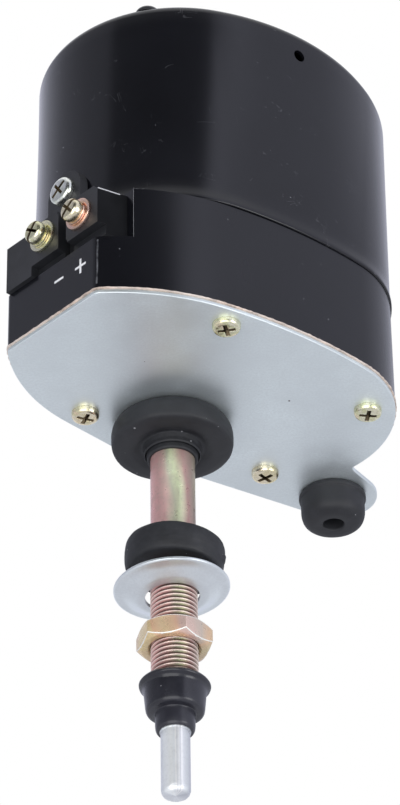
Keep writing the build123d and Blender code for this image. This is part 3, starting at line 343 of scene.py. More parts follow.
def lathe_data(profile, segs=96, warp=None, matrix=None, closed=True):
    """Revolve an (r, z) profile about Z. Points on the axis close the shape."""
    verts, faces, rows = [], [], []
    for r, z in profile:
        if r < 1e-6:
            rows.append([len(verts)])
            verts.append((0.0, 0.0, z))
        else:
            row = []
            for i in range(segs):
                a = 2 * math.pi * i / segs
                rr, zz = (r, z) if warp is None else warp(r, z, a)
                row.append(len(verts))
                verts.append((rr * math.cos(a), rr * math.sin(a), zz))
            rows.append(row)
    pairs = list(zip(rows[:-1], rows[1:]))
    if closed and len(rows[0]) > 1 and len(rows[-1]) > 1:
        pairs.append((rows[-1], rows[0]))
    for a, b in pairs:
        if len(a) == 1 and len(b) == 1:
            continue
        for i in range(segs):
            j = (i + 1) % segs
            if len(a) == 1:
                faces.append((a[0], b[i], b[j]))
            elif len(b) == 1:
                faces.append((a[i], b[0], a[j]))
            else:
                faces.append((a[i], b[i], b[j], a[j]))
    if matrix is not None:
        verts = [tuple(matrix @ Vector(v)) for v in verts]
    return verts, faces


def merge(*parts):
    v, f = [], []
    for pv, pf in parts:
        k = len(v)
        v += list(pv)
        f += [tuple(i + k for i in q) for q in pf]
    return v, f


def pick_faces(ob, matrix, test, material):
    """Give the faces chosen by their centre and width, in the matrix's millimetre frame, a finish of their own."""
    ob.data.materials.append(material)
    k = len(ob.data.materials) - 1
    inv = matrix.inverted()
    for f in ob.data.polygons:
        pts = [ob.data.vertices[v].co for v in f.vertices]
        edge = sum((pts[j] - pts[j - 1]).length for j in range(len(pts)))
        if test(inv @ (f.center / MM), 2.0 * f.area / max(edge, 1e-9) / MM, inv.to_3x3() @ f.normal):
            f.material_index = k


def n3(x, y, z, s=1.0, seed=0.0):
    return noise.noise(Vector((x * s + seed, y * s - seed * 1.7, z * s + seed * 0.3)))


# ---------------------------------------------------------------------------
# materials
# ---------------------------------------------------------------------------
class Nodes:
    def __init__(self, name):
        self.m = bpy.data.materials.new(name)
        self.m.use_nodes = True
        self.t = self.m.node_tree
        self.b = self.t.nodes["Principled BSDF"]
        self.coord = self.t.nodes.new("ShaderNodeTexCoord")

    def node(self, kind, **props):
        n = self.t.nodes.new(kind)
        for k, v in props.items():
            setattr(n, k, v)
        return n

    def link(self, a, b):
        self.t.links.new(a, b)

    def mapping(self, scale=(1, 1, 1), source="Object", rot=(0, 0, 0)):
        n = self.node("ShaderNodeMapping")
        n.inputs["Scale"].default_value = scale
        n.inputs["Rotation"].default_value = rot
        self.link(self.coord.outputs[source], n.inputs["Vector"])
        return n.outputs[0]

    def noise(self, scale, detail=3.0, rough=0.55, vec=None, dist=0.0):
        n = self.node("ShaderNodeTexNoise")
        n.inputs["Scale"].default_value = scale
        n.inputs["Detail"].default_value = detail
        n.inputs["Roughness"].default_value = rough
        n.inputs["Distortion"].default_value = dist
        self.link(vec if vec is not None else self.coord.outputs["Object"], n.inputs["Vector"])
        return n.outputs["Fac"]

    def voronoi(self, scale, vec=None, feature="F1", out="Distance", dim="3D", rnd=1.0):
        n = self.node("ShaderNodeTexVoronoi", feature=feature, voronoi_dimensions=dim)
        n.inputs["Scale"].default_value = scale
        n.inputs["Randomness"].default_value = rnd
        self.link(vec if vec is not None else self.coord.outputs["Object"], n.inputs["Vector"])
        return n if out is None else n.outputs[out]

    def ramp(self, fac, stops, mode="LINEAR"):
        n = self.node("ShaderNodeValToRGB")
        n.color_ramp.interpolation = mode
        els = n.color_ramp.elements
        while len(els) > 1:
            els.remove(els[-1])
        for i, (p, c) in enumerate(stops):
            col = c if isinstance(c, (tuple, list)) else (c, c, c)
            e = els[0] if i == 0 else els.new(p)
            e.position = p
            e.color = (col[0], col[1], col[2], 1.0)
        self.link(fac, n.inputs["Fac"])
        return n.outputs["Color"]

    def math(self, op, a, b=None, clamp=False):
        n = self.node("ShaderNodeMath", operation=op, use_clamp=clamp)
        for i, v in enumerate((a, b)):
            if v is None:
                continue
            if isinstance(v, (int, float)):
                n.inputs[i].default_value = v
            else:
                self.link(v, n.inputs[i])
        return n.outputs[0]

    def mix(self, fac, a, b, blend="MIX"):
        n = self.node("ShaderNodeMix", data_type="RGBA", blend_type=blend)
        for sock, v in ((n.inputs[0], fac), (n.inputs[6], a), (n.inputs[7], b)):
            if isinstance(v, (int, float)):
                sock.default_value = v
            elif isinstance(v, (tuple, list)):
                sock.default_value = (v[0], v[1], v[2], 1.0)
            else:
                self.link(v, sock)
        return n.outputs[2]

    def remap(self, v, lo, hi, a=0.0, b=1.0):
        n = self.node("ShaderNodeMapRange")
        n.inputs["From Min"].default_value = a
        n.inputs["From Max"].default_value = b
        n.inputs["To Min"].default_value = lo
        n.inputs["To Max"].default_value = hi
        self.link(v, n.inputs["Value"])
        return n.outputs[0]

    def bump(self, height, strength=0.2, dist=0.00005, normal=None):
        n = self.node("ShaderNodeBump")
        n.inputs["Strength"].default_value = strength
        n.inputs["Distance"].default_value = dist
        self.link(height, n.inputs["Height"])
        if normal is not None:
            self.link(normal, n.inputs["Normal"])
        return n.outputs[0]

    def specks(self, scale, share, size):
        """Small grains: 1 on a few cells' centres, 0 elsewhere."""
        v = self.voronoi(scale, out=None)
        pick = self.node("ShaderNodeSeparateColor")
        self.link(v.outputs["Color"], pick.inputs[0])
        chosen = self.math("LESS_THAN", pick.outputs[0], share)
        radius = self.math("MULTIPLY", pick.outputs[1], size)
        dot = self.math("LESS_THAN", v.outputs["Distance"], radius)
        return self.math("MULTIPLY", chosen, dot)

    def xyz(self):
        n = self.node("ShaderNodeSeparateXYZ")
        self.link(self.coord.outputs["Object"], n.inputs[0])
        return n.outputs

    def streak(self, x0, y0, half, z0, z1):
        """A broken upright bright line along an edge, partly rubbed-through finish and partly a painted highlight, in
        millimetres.
        """
        x, y, z = self.xyz()
        wob = self.remap(self.noise(160.0, 3.0), -0.25 * MM, 0.25 * MM, 0.3, 0.7)
        dx = self.math("ADD", self.math("SUBTRACT", x, x0 * MM), wob)
        dy = self.math("SUBTRACT", y, y0 * MM)
        d = self.math("SQRT", self.math("ADD", self.math("MULTIPLY", dx, dx), self.math("MULTIPLY", dy, dy)))
        on = self.remap(d, 1.0, 0.0, half * 0.5 * MM, half * MM)
        inside = self.math("MULTIPLY", self.math("GREATER_THAN", z, z0 * MM), self.math("LESS_THAN", z, z1 * MM))
        broken = self.remap(self.noise(420.0, 3.0, 0.7), 0.25, 1.0, 0.40, 0.52)
        return self.math("MULTIPLY", self.math("MULTIPLY", on, inside), broken)

    def round_fac(self, seed=0.0, drift=0.10, zscale=0.35, scale=60.0):
        """0 to 1 once round the spindle axis, starting behind, blurred by a slow noise."""
        x, y, z = self.xyz()
        a = self.math("ADD", self.math("DIVIDE", self.math("ARCTAN2", y, x), 2 * math.pi), 0.5)
        mp = self.mapping((1, 1, zscale))
        mp.node.inputs["Location"].default_value = (seed, seed * 0.7, seed * 0.3)
        return self.math("ADD", a, self.remap(self.noise(scale, 3.0, 0.6, vec=mp), -drift, drift, 0.3, 0.7))

    def set(self, **kw):
        for k, v in kw.items():
            s = self.b.inputs[k.replace("_", " ")]
            if isinstance(v, (int, float)):
                s.default_value = v
            elif isinstance(v, (tuple, list)):
                s.default_value = (v[0], v[1], v[2], 1.0)
            else:
                self.link(v, s)
        return self.m


def paint(name, rough=0.17, tint=(0.0036, 0.0038, 0.0054), scratches=True, wear_and_highlight_lines=()):
    n = Nodes(name)
    cloud = n.noise(38.0, 3.0)
    base = n.mix(n.remap(cloud, 0.0, 1.0, 0.3, 0.7), tint, tuple(c * 1.5 for c in tint))
    dust = n.specks(330.0, 0.07, 0.055)
    fine = n.specks(800.0, 0.035, 0.10)
    marks = n.math("MULTIPLY", n.math("MAXIMUM", dust, fine), 0.8)
    if scratches:
        # short hairlines: a stretched noise cut to its crests, kept only in patches
        uv = n.mapping((0.9, 0.22, 1.0), source="UV", rot=(0, 0, 0.5))
        a = n.noise(90.0, 2.0, 0.6, vec=uv, dist=2.2)
        line = n.math("COMPARE", a, 0.5)
        line.node.inputs[2].default_value = 0.0035
        uv2 = n.mapping((0.25, 1.0, 1.0), source="UV", rot=(0, 0, 1.1))
        a2 = n.noise(70.0, 2.0, 0.6, vec=uv2, dist=2.0)
        line2 = n.math("COMPARE", a2, 0.5)
        line2.node.inputs[2].default_value = 0.003
        patch = n.math("GREATER_THAN", n.noise(9.0, 4.0, 0.75, vec=n.mapping((12, 12, 12), source="UV")), 0.60)
        both = n.math("MULTIPLY", n.math("MAXIMUM", line, line2), patch)
        marks = n.math("MAXIMUM", marks, n.math("MULTIPLY", both, 0.07))
    # bright upright lines along edges: rubbed paint, brightened further as a painted highlight
    for x0, y0, half, z0, z1, amount in wear_and_highlight_lines:
        marks = n.math("MAXIMUM", marks, n.math("MULTIPLY", n.streak(x0, y0, half, z0, z1), amount))
    col = n.mix(marks, base, (0.42, 0.43, 0.46))
    smear = n.noise(14.0, 4.0, 0.6, vec=n.mapping((1, 1, 0.35)))
    r = n.remap(smear, rough - 0.04, rough + 0.09, 0.3, 0.75)
    peel = n.noise(900.0, 2.0)
    soft = n.noise(110.0, 2.0)
    nrm = n.bump(soft, 0.035, 0.0004, n.bump(peel, 0.05, 0.00005))
    return n.set(Base_Color=col, Roughness=r, Metallic=0.0, IOR=1.5, Normal=nrm)


def zinc_sheet(name, col=(0.83, 0.895, 0.90), rough=0.42, grain=0.5, metallic=0.85):
    n = Nodes(name)
    mott = n.noise(55.0, 5.0, 0.65)
    big = n.noise(16.0, 2.0)
    c = n.mix(n.remap(mott, 0, 1, 0.3, 0.7), tuple(v * 0.90 for v in col), tuple(min(1, v * 1.06) for v in col))
    c = n.mix(n.remap(big, 0.0, 0.35, 0.35, 0.7), c, tuple(v * 0.82 for v in col))
    grains = n.noise(1500.0, 2.0, 0.7)
    c = n.mix(n.remap(grains, 0.0, 0.6, 0.35, 0.65), c, tuple(v * 0.86 for v in col))
    dark = n.specks(300.0, 0.045, 0.10)
    c = n.mix(dark, c, (0.10, 0.09, 0.09))
    r = n.remap(mott, rough - 0.06, rough + 0.1, 0.3, 0.7)
    nrm = n.bump(grains, 0.12 * grain, 0.00006, n.bump(n.noise(220.0, 3.0), 0.10 * grain, 0.0001))
    return n.set(Base_Color=c, Roughness=r, Metallic=metallic, Normal=nrm)


def passivated(name, stops, scale=70.0, rough=0.27, streak=(1, 1, 1), wear_and_highlight_lines=0.0, seed=0.0):
    """Zinc with a coloured passivation film: hue drifts over the surface."""
    n = Nodes(name)
    mp = n.mapping(streak)
    mp.node.inputs["Location"].default_value = (seed, seed * 0.7, seed * 0.3)
    f = n.noise(scale, 3.0, 0.55, vec=mp, dist=0.6)
    c = n.ramp(n.remap(f, 0.0, 1.0, 0.28, 0.72), stops)
    f2 = n.noise(scale * 7, 3.0, 0.6)
    c = n.mix(n.remap(f2, 0.0, 0.35, 0.4, 0.7), c, tuple(v * 0.72 for v in stops[len(stops) // 2][1]))
    grit = n.noise(1400.0, 2.0, 0.7)
    c = n.mix(n.remap(grit, 0.0, 0.25, 0.5, 0.75), c, (0.16, 0.15, 0.12))
    r = n.remap(f2, rough - 0.07, rough + 0.12, 0.3, 0.7)
    nrm = n.bump(grit, 0.10, 0.00004)
    return n.set(Base_Color=c, Roughness=r, Metallic=1.0, Normal=nrm)


def film(name, stops, rough=0.34, metallic=0.6, seed=0.0, drift=0.07, grit=0.20, stain=(0.42, 0.38, 0.32), amount=0.30, thread=False):
    """Metal whose colour turns with the direction round the spindle: painted reflections and painted shade in bands,
    over the passivation's own tint on the zinc parts.
    """
    n = Nodes(name)
    c = n.ramp(n.round_fac(seed, drift), stops)
    f2 = n.noise(420.0, 3.0, 0.6)
    c = n.mix(n.remap(f2, 0.0, amount, 0.4, 0.7), c, stain)
    if thread:
        # painted shade darkens the thread's roots and a painted highlight brightens its crests
        x, y, z = n.xyz()
        rr = n.math("SQRT", n.math("ADD", n.math("MULTIPLY", x, x), n.math("MULTIPLY", y, y)))
        low = n.math("LESS_THAN", z, -40.3 * MM)
        root_shade = n.math("MULTIPLY", n.remap(rr, 1.0, 0.0, 5.36 * MM, 5.62 * MM), low)
        crest_highlight = n.math("MULTIPLY", n.remap(rr, 0.0, 0.75, 5.72 * MM, 5.92 * MM), low)
        c = n.mix(crest_highlight, c, (1.0, 0.80, 0.72))
        c = n.mix(n.math("MULTIPLY", root_shade, 0.95), c, (0.085, 0.045, 0.036))
    fine = n.noise(1500.0, 2.0, 0.7)
    c = n.mix(n.remap(fine, 0.0, grit, 0.5, 0.75), c, (0.14, 0.12, 0.10))
    r = n.remap(f2, rough - 0.07, rough + 0.12, 0.3, 0.7)
    return n.set(Base_Color=c, Roughness=r, Metallic=metallic, Normal=n.bump(fine, 0.10, 0.00004))


def rubber(name, col=(0.0085, 0.0090, 0.0108), rough=0.60, dust=1.0):
    n = Nodes(name)
    cloud = n.noise(60.0, 4.0, 0.6)
    c = n.mix(n.remap(cloud, 0.0, 1.0, 0.3, 0.7), col, tuple(v * 2.1 for v in col))
    bloom = n.noise(240.0, 4.0, 0.7)
    c = n.mix(n.remap(bloom, 0.0, 0.28 * dust, 0.45, 0.75), c, (0.040, 0.042, 0.048))
    lint = n.math("MAXIMUM", n.specks(420.0, 0.07 * dust, 0.15), n.specks(900.0, 0.05 * dust, 0.14))
    c = n.mix(lint, c, (0.36, 0.36, 0.37))
    r = n.remap(cloud, rough - 0.1, rough + 0.12, 0.3, 0.7)
    skin = n.noise(700.0, 3.0, 0.6)
    nrm = n.bump(skin, 0.22, 0.00008, n.bump(n.noise(130.0, 2.0), 0.10, 0.0002))
    return n.set(Base_Color=c, Roughness=r, Metallic=0.0, Normal=nrm)


def moulding(name, col=(0.010, 0.0105, 0.012), rough=0.42):
    n = Nodes(name)
    cloud = n.noise(80.0, 3.0)
    c = n.mix(n.remap(cloud, 0.0, 1.0, 0.3, 0.7), col, tuple(v * 1.9 for v in col))
    c = n.mix(n.specks(480.0, 0.06, 0.09), c, (0.28, 0.28, 0.29))
    r = n.remap(n.noise(180.0, 4.0), rough - 0.08, rough + 0.1, 0.3, 0.7)
    nrm = n.bump(n.noise(1100.0, 2.0), 0.12, 0.00005)
    return n.set(Base_Color=c, Roughness=r, Metallic=0.0, Normal=nrm)


def metal(name, col, rough=0.3, streak=(1, 1, 1), dirt_and_shade=0.25, dark=(0.08, 0.075, 0.07), bumpy=0.08, metallic=1.0):
    n = Nodes(name)
    mp = n.mapping(streak)
    s = n.noise(420.0, 3.0, 0.6, vec=mp)
    c = n.mix(n.remap(s, 0.0, 1.0, 0.3, 0.7), tuple(v * 0.86 for v in col), tuple(min(1.0, v * 1.08) for v in col))
    film = n.noise(60.0, 4.0, 0.6)
    # a noise film of the dark colour: real dirt on most metals, and further painted shade in the screw recesses
    c = n.mix(n.remap(film, 0.0, dirt_and_shade, 0.45, 0.75), c, dark)
    r = n.remap(film, rough - 0.06, rough + 0.14, 0.3, 0.7)
    nrm = n.bump(s, bumpy, 0.00004)
    return n.set(Base_Color=c, Roughness=r, Metallic=metallic, Normal=nrm)


def fibre(name, col=(0.62, 0.50, 0.42)):
    n = Nodes(name)
    f = n.noise(500.0, 4.0, 0.7)
    c = n.mix(n.remap(f, 0.0, 1.0, 0.35, 0.65), tuple(v * 0.6 for v in col), tuple(min(1, v * 1.35) for v in col))
    patch = n.noise(70.0, 3.0)
    c = n.mix(n.remap(patch, 0.0, 0.6, 0.4, 0.65), c, (0.86, 0.78, 0.71))
    return n.set(Base_Color=c, Roughness=n.remap(f, 0.75, 0.95), Normal=n.bump(f, 0.4, 0.0001))


def ink(name):
    n = Nodes(name)
    f = n.noise(900.0, 3.0)
    c = n.mix(n.remap(f, 0.0, 1.0, 0.3, 0.7), (0.90, 0.90, 0.90), (0.98, 0.98, 0.98))
    return n.set(Base_Color=c, Roughness=n.remap(f, 0.3, 0.5), Normal=n.bump(f, 0.08, 0.00003))


# the near corner of the housing carries a bright line: rubbed paint and a painted highlight
_near = min(housing_pts(0.0, 4.0), key=lambda q: abs(q[0] + 17.6) + (1000 if q[1] > -30 else 0))
WEAR_HIGHLIGHT_Y = _near[1]
M_PAINT = paint("gloss_black_paint")
M_HOUSING = paint("gloss_black_casting", rough=0.21, scratches=False, wear_and_highlight_lines=((-17.6, WEAR_HIGHLIGHT_Y, 0.30, 3.0, 16.6, 0.28),))
M_PLATE = zinc_sheet("zinc_plate")
M_WASHER = zinc_sheet("washer_zinc", col=(0.84, 0.885, 0.90), rough=0.36, grain=0.35)
# painted reflections and painted shade: bright and dark bands at set directions round the shaft's axis, with darker
# sides
SHAFT_PAINTED_REFLECTIONS = [(0.0, (0.74, 0.76, 0.78)), (0.06, (0.76, 0.79, 0.82)), (0.11, (0.95, 0.98, 0.98)), (0.20, (0.98, 1.0, 0.98)), (0.235, (0.84, 0.87, 0.88)), (0.25, (1.0, 1.0, 0.98)),
              (0.262, (0.76, 0.78, 0.79)), (0.285, (0.94, 0.95, 0.94)), (0.30, (0.66, 0.68, 0.70)), (0.315, (1.0, 1.0, 0.99)), (0.335, (0.74, 0.76, 0.78)), (0.39, (0.68, 0.71, 0.73)),
              (0.45, (0.54, 0.56, 0.60)), (0.7, (0.82, 0.84, 0.86)), (1.0, (0.74, 0.76, 0.78))]
M_SHAFT = film("ground_shaft", SHAFT_PAINTED_REFLECTIONS, rough=0.36, metallic=0.45, drift=0.010, grit=0.10, stain=(0.60, 0.62, 0.66), amount=0.25)
M_RUBBER = rubber("black_rubber")
M_RUBBER2 = rubber("black_rubber_dusty", dust=1.2)
M_CAP = rubber("cap_rubber", col=(0.015, 0.0152, 0.020), rough=0.29, dust=0.3)
M_PLUG = moulding("plug_plastic", rough=0.3)
M_BLOCK = moulding("terminal_moulding")
M_GASKET = fibre("gasket_fibre")
M_INK = ink("white_ink")
GREENISH = [(0.0, (0.88, 0.83, 0.54)), (0.35, (0.95, 0.91, 0.70)), (0.6, (0.76, 0.76, 0.46)), (0.8, (0.94, 0.84, 0.58)), (1.0, (0.84, 0.70, 0.50))]
TAN = [(0.0, (0.94, 0.78, 0.50)), (0.4, (0.97, 0.88, 0.68)), (0.7, (0.84, 0.76, 0.48)), (1.0, (0.94, 0.72, 0.54))]
SILVER = [(0.0, (0.84, 0.87, 0.80)), (0.4, (0.94, 0.95, 0.90)), (0.7, (0.76, 0.80, 0.70)), (1.0, (0.88, 0.86, 0.76))]
MIXED = [(0.0, (0.58, 0.46, 0.30)), (0.35, (0.66, 0.58, 0.40)), (0.6, (0.50, 0.40, 0.34)), (0.8, (0.70, 0.52, 0.42)), (1.0, (0.56, 0.40, 0.34))]
COPPERY = [(0.0, (0.92, 0.56, 0.44)), (0.4, (0.96, 0.66, 0.56)), (0.7, (0.86, 0.62, 0.44)), (1.0, (0.94, 0.52, 0.46))]
# the passivation's own rainbow tint, with painted reflections and painted shade in bands at set directions round the
# spindle axis
TUBE_TINT_AND_PAINTED_REFLECTIONS = [(0.0, (0.59, 0.49, 0.36)), (0.06, (0.65, 0.38, 0.35)), (0.103, (0.84, 0.47, 0.44)), (0.181, (0.65, 0.38, 0.36)), (0.236, (0.47, 0.46, 0.34)),
             (0.275, (0.65, 0.69, 0.44)), (0.305, (0.68, 0.62, 0.44)), (0.345, (0.51, 0.30, 0.28)), (0.428, (0.44, 0.33, 0.28)), (0.55, (0.55, 0.55, 0.40)),
             (0.68, (0.63, 0.44, 0.42)), (0.80, (0.47, 0.49, 0.47)), (1.0, (0.59, 0.49, 0.36))]
NUT_TINT_AND_PAINTED_REFLECTIONS = [(0.0, (0.80, 0.64, 0.35)), (0.125, (0.86, 0.66, 0.37)), (0.14, (0.93, 0.59, 0.37)), (0.20, (0.93, 0.70, 0.42)), (0.27, (0.93, 0.59, 0.40)), (0.31, (0.80, 0.57, 0.49)),
            (0.38, (0.67, 0.57, 0.47)), (0.44, (0.82, 0.57, 0.37)), (0.55, (0.67, 0.57, 0.35)), (0.75, (0.73, 0.49, 0.39)), (1.0, (0.80, 0.64, 0.35))]
M_SCREW = passivated("yellow_zinc", GREENISH, 260.0, 0.25)
M_SCREW_MIX = passivated("mixed_zinc", MIXED, 240.0, 0.27, seed=1.1)
M_SCREW_CU = passivated("copper_zinc", COPPERY, 260.0, 0.27)
M_SCREW_TAN = passivated("tan_zinc", TAN, 260.0, 0.24, seed=0.7)
M_SCREW_SILVER = passivated("silver_zinc", SILVER, 260.0, 0.22, seed=1.9)
# painted shade: a dark brownish finish for the screw recesses, standing in for the shade inside them
M_RECESS_SHADE = metal("recess_painted_shade", (0.20, 0.155, 0.095), 0.45, dirt_and_shade=0.8, dark=(0.035, 0.028, 0.02))
# painted highlight: a light grey finish for narrow bevels, standing in for the light caught on their edges
M_EDGE_HIGHLIGHT = metal("edge_painted_highlight", (0.62, 0.62, 0.64), 0.4, dirt_and_shade=0.7, dark=(0.03, 0.03, 0.035), metallic=0.0)
# painted shade: a near-black matte finish for faces that sit in shadow, the notch wall of the housing and the right
# end of the terminal block
M_SHADE_FACE = moulding("painted_shade_face", col=(0.0035, 0.0037, 0.0045), rough=0.75)
M_SHADE_FACE.node_tree.nodes["Principled BSDF"].inputs["Specular IOR Level"].default_value = 0.12
# painted highlight: a pale finish on the nut's narrow edge bevels
M_NUT_EDGE_HIGHLIGHT = metal("nut_edges_painted_highlight", (0.96, 0.93, 0.86), 0.30, dirt_and_shade=0.12, dark=(0.6, 0.5, 0.36), metallic=0.35)
M_TUBE = film("rainbow_zinc", TUBE_TINT_AND_PAINTED_REFLECTIONS, rough=0.32, metallic=0.55, thread=True)
M_NUT = film("rainbow_zinc_nut", NUT_TINT_AND_PAINTED_REFLECTIONS, rough=0.28, metallic=0.45, seed=2.3, drift=0.085, amount=0.14, grit=0.07)
M_BRIGHT = metal("bright_zinc", (0.84, 0.85, 0.85), 0.22, dirt_and_shade=0.12)

# looks of the mechanism inside
inner = {
    "steel": metal("oiled_steel", (0.42, 0.43, 0.45), 0.32, streak=(1, 1, 0.3), dirt_and_shade=0.45),
    "bronze": metal("sintered_bronze", (0.55, 0.36, 0.17), 0.42, dirt_and_shade=0.4),
    "brass": metal("contact_brass", (0.72, 0.55, 0.26), 0.28),
    "copper": metal("enamelled_copper", (0.62, 0.28, 0.13), 0.30, streak=(0.2, 1, 1), bumpy=0.5),
    "core": metal("laminations", (0.20, 0.20, 0.22), 0.45, streak=(6, 0.4, 0.4), bumpy=0.6),
    "case": zinc_sheet("motor_case_zinc", col=(0.55, 0.55, 0.47), rough=0.38),
    "ferrite": moulding("ferrite_grey", col=(0.035, 0.035, 0.038), rough=0.6),
    "carbon": moulding("carbon_black", col=(0.02, 0.02, 0.02), rough=0.5),
    "acetal": moulding("natural_acetal", col=(0.55, 0.51, 0.40), rough=0.4),
    "lead": moulding("red_lead", col=(0.30, 0.02, 0.015), rough=0.45),
}
slot_look = {"bronze": "bronze", "gear_steel": "steel", "wheel_polymer": "acetal", "brass_parts": "brass", "motor_steel": "case",
             "ferrite": "ferrite", "core_steel": "core", "copper": "copper", "carbon": "carbon", "spring_steel": "steel", "lead_insulation": "lead"}
named = {"cover_paint": M_PAINT, "housing_paint": M_HOUSING, "plate_zinc": M_PLATE, "yellow_zinc": M_SCREW, "copper_zinc": M_SCREW_CU,
         "bright_zinc": M_BRIGHT, "rainbow_zinc": M_TUBE, "shaft_steel": M_SHAFT, "black_rubber": M_RUBBER, "black_cap": M_CAP,
         "black_moulding": M_BLOCK, "gasket_card": M_GASKET}
node_slot = {s["node"]: s["material_slot"] for s in frame["record"]["subparts"]}
for node, ob in frame["nodes"].items():
    s = node_slot[node]
    m = named[s] if s in named else inner[slot_look[s]]
    if ob.data.materials:
        for i in range(len(ob.data.materials)):
            ob.data.materials[i] = m
    else:
        ob.data.materials.append(m)

# ---------------------------------------------------------------------------
# motor cover: thin lofted shell with a rounded top, a small skirt and a vent
# ---------------------------------------------------------------------------
def cover_ring(z, d):
    t = (z - HZ1) / (COVER_Z1 - HZ1)
    a, b = cover_pts(BOTTOM, d), cover_pts(TOP, d)
    return [(p[0] + (q[0] - p[0]) * t, p[1] + (q[1] - p[1]) * t, z) for p, q in zip(a, b)]


Z_SKIRT = HZ1 + 0.30
levels = [(Z_SKIRT, -0.28), (Z_SKIRT + 0.12, -0.42), (Z_SKIRT + 0.7, -0.42), (Z_SKIRT + 1.6, -0.30), (Z_SKIRT + 2.8, -0.12), (Z_SKIRT + 4.4, 0.0)]
levels += [(z, 0.0) for z in [40 + 3.0 * i for i in range(18)]] + [(COVER_Z1 - 3.0, 0.0)]
for i in range(1, 9):
    th = math.radians(90 * i / 8)
    levels.append((COVER_Z1 - 3.0 + 3.0 * math.sin(th), 3.0 * (1 - math.cos(th))))
rings = [cover_ring(z, d) for z, d in levels]
top_flat = rings[-1]
cxy = (12.0, -10.0)
for s, dz in ((0.86, 0.25), (0.6, 0.42), (0.3, 0.5)):
    rings.append([(cxy[0] + (x - cxy[0]) * s, cxy[1] + (y - cxy[1]) * s, COVER_Z1 + dz * 0.6) for x, y, z in top_flat])
inner_levels = [(Z_SKIRT, 1.0), (60.0, 1.0), (COVER_Z1 - 5.4, 1.0), (COVER_Z1 - 1.6, 2.2), (COVER_Z1 - 1.0, 4.0)]
inner_rings = [cover_ring(z, d) for z, d in inner_levels]
verts, faces, uvs = [], [], []
n_around = len(rings[0])
arc_len = [0.0]
for i in range(1, n_around):
    arc_len.append(arc_len[-1] + math.dist(rings[8][i][:2], rings[8][i - 1][:2]))
for ring in rings:
    verts += ring
    uvs += [(arc_len[i] * MM, p[2] * MM) for i, p in enumerate(ring)]
verts.append((cxy[0], cxy[1], COVER_Z1 + 0.32))
uvs.append((0.1, 0.1))
tip = len(verts) - 1
for k in range(len(rings) - 1):
    for i in range(n_around):
        j = (i + 1) % n_around
        faces.append((k * n_around + i, k * n_around + j, (k + 1) * n_around + j, (k + 1) * n_around + i))
last = (len(rings) - 1) * n_around
faces += [(last + i, last + (i + 1) % n_around, tip) for i in range(n_around)]
k0 = len(verts)
for ring in inner_rings:
    verts += ring
    uvs += [(arc_len[i] * MM, p[2] * MM) for i, p in enumerate(ring)]
for k in range(len(inner_rings) - 1):
    for i in range(n_around):
        j = (i + 1) % n_around
        faces.append((k0 + k * n_around + j, k0 + k * n_around + i, k0 + (k + 1) * n_around + i, k0 + (k + 1) * n_around + j))
faces += [(i, k0 + i, k0 + (i + 1) % n_around, (i + 1) % n_around) for i in range(n_around)]
faces.append(tuple(k0 + (len(inner_rings) - 1) * n_around + i for i in range(n_around - 1, -1, -1)))
cover = to_obj("cover_shell", verts, faces, M_PAINT, uv=uvs, angle=50)
# the vent is a clean round hole
vm = Matrix.Translation(VENT) @ Matrix.Rotation(math.radians(VENT_DEG), 4, "Z") @ Matrix.Rotation(math.radians(90), 4, "Y")
vent = loose("vent_cutter", *prism_data(circle_pts(1.7, 40), -4, 4), matrix=vm)
gm = FACET_M @ Matrix.Translation((GROUND_AZ[0], GROUND_AZ[1], 0))
gcut = loose("ground_cutter", *prism_data(circle_pts(1.75, 24), -9.5, -3.0), matrix=gm)
cut(cover, vent, gcut)
shade(cover, 50)
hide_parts("motor_cover")

# plug in the top
plug_v = lathe_data(round_profile([(0, COVER_Z1 - 3.0), (3.2, COVER_Z1 - 3.0), (3.2, COVER_Z1 - 1.05), (2.55, COVER_Z1 - 1.0),
                                   (2.55, COVER_Z1 + 0.05), (3.4, COVER_Z1 + 0.05), (3.4, COVER_Z1 + 0.8), (2.9, COVER_Z1 + 1.65),
                                   (1.7, COVER_Z1 + 2.2), (0, COVER_Z1 + 2.3)],
                                  [0, .3, .1, .1, .1, .25, .35, .5, .6, 0], 4, closed=False), 48,
                    matrix=Matrix.Translation((PLUG_XY[0], PLUG_XY[1], 0)))
plug = to_obj("cover_plug_dome", *plug_v, M_PLUG)
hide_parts("cover_plug")

# ---------------------------------------------------------------------------
# gear housing shell
# ---------------------------------------------------------------------------
DECK0 = HZ1 - 3.0
LEDGE = 17.5
NOTCH_O = -7.0
hv, hf = prism_data(housing_pts(0.0), HZ0, HZ1)
housing = to_obj("housing_shell", hv, hf, M_HOUSING, body=None)
hollow = loose("hollow", *prism_data(housing_pts(2.5, 0.6), HZ0 - 2, DECK0))
keep = loose("keep", *box_data(-40, 40, 15.5, DECK0 + 0.01, -9.0, 60), matrix=FACET_M)
cut(hollow, keep)
cut(housing, hollow)
notch = loose("notch", *box_data(-40, 40, LEDGE, HZ1 + 6, NOTCH_O, 30), matrix=FACET_M)
deck_keep = loose("deck_keep", *prism_data(cover_pts(BOTTOM, 0.05, (60, 24, 20, 30, 6)), DECK0, HZ1 + 1))
cut(notch, deck_keep)
cut(housing, notch)
bevel(housing, 0.45, 3, 40)
bake(housing, 35)
weigh(housing)
# the notch wall beside the terminal block gets the painted shade
pick_faces(housing, FACET_M, lambda c, w, nn: 17.0 < c.y < 32.9 and c.x > 19.0 and -9.0 < c.z < -5.5 and w > 1.0 and nn.z > 0.8, M_SHADE_FACE)
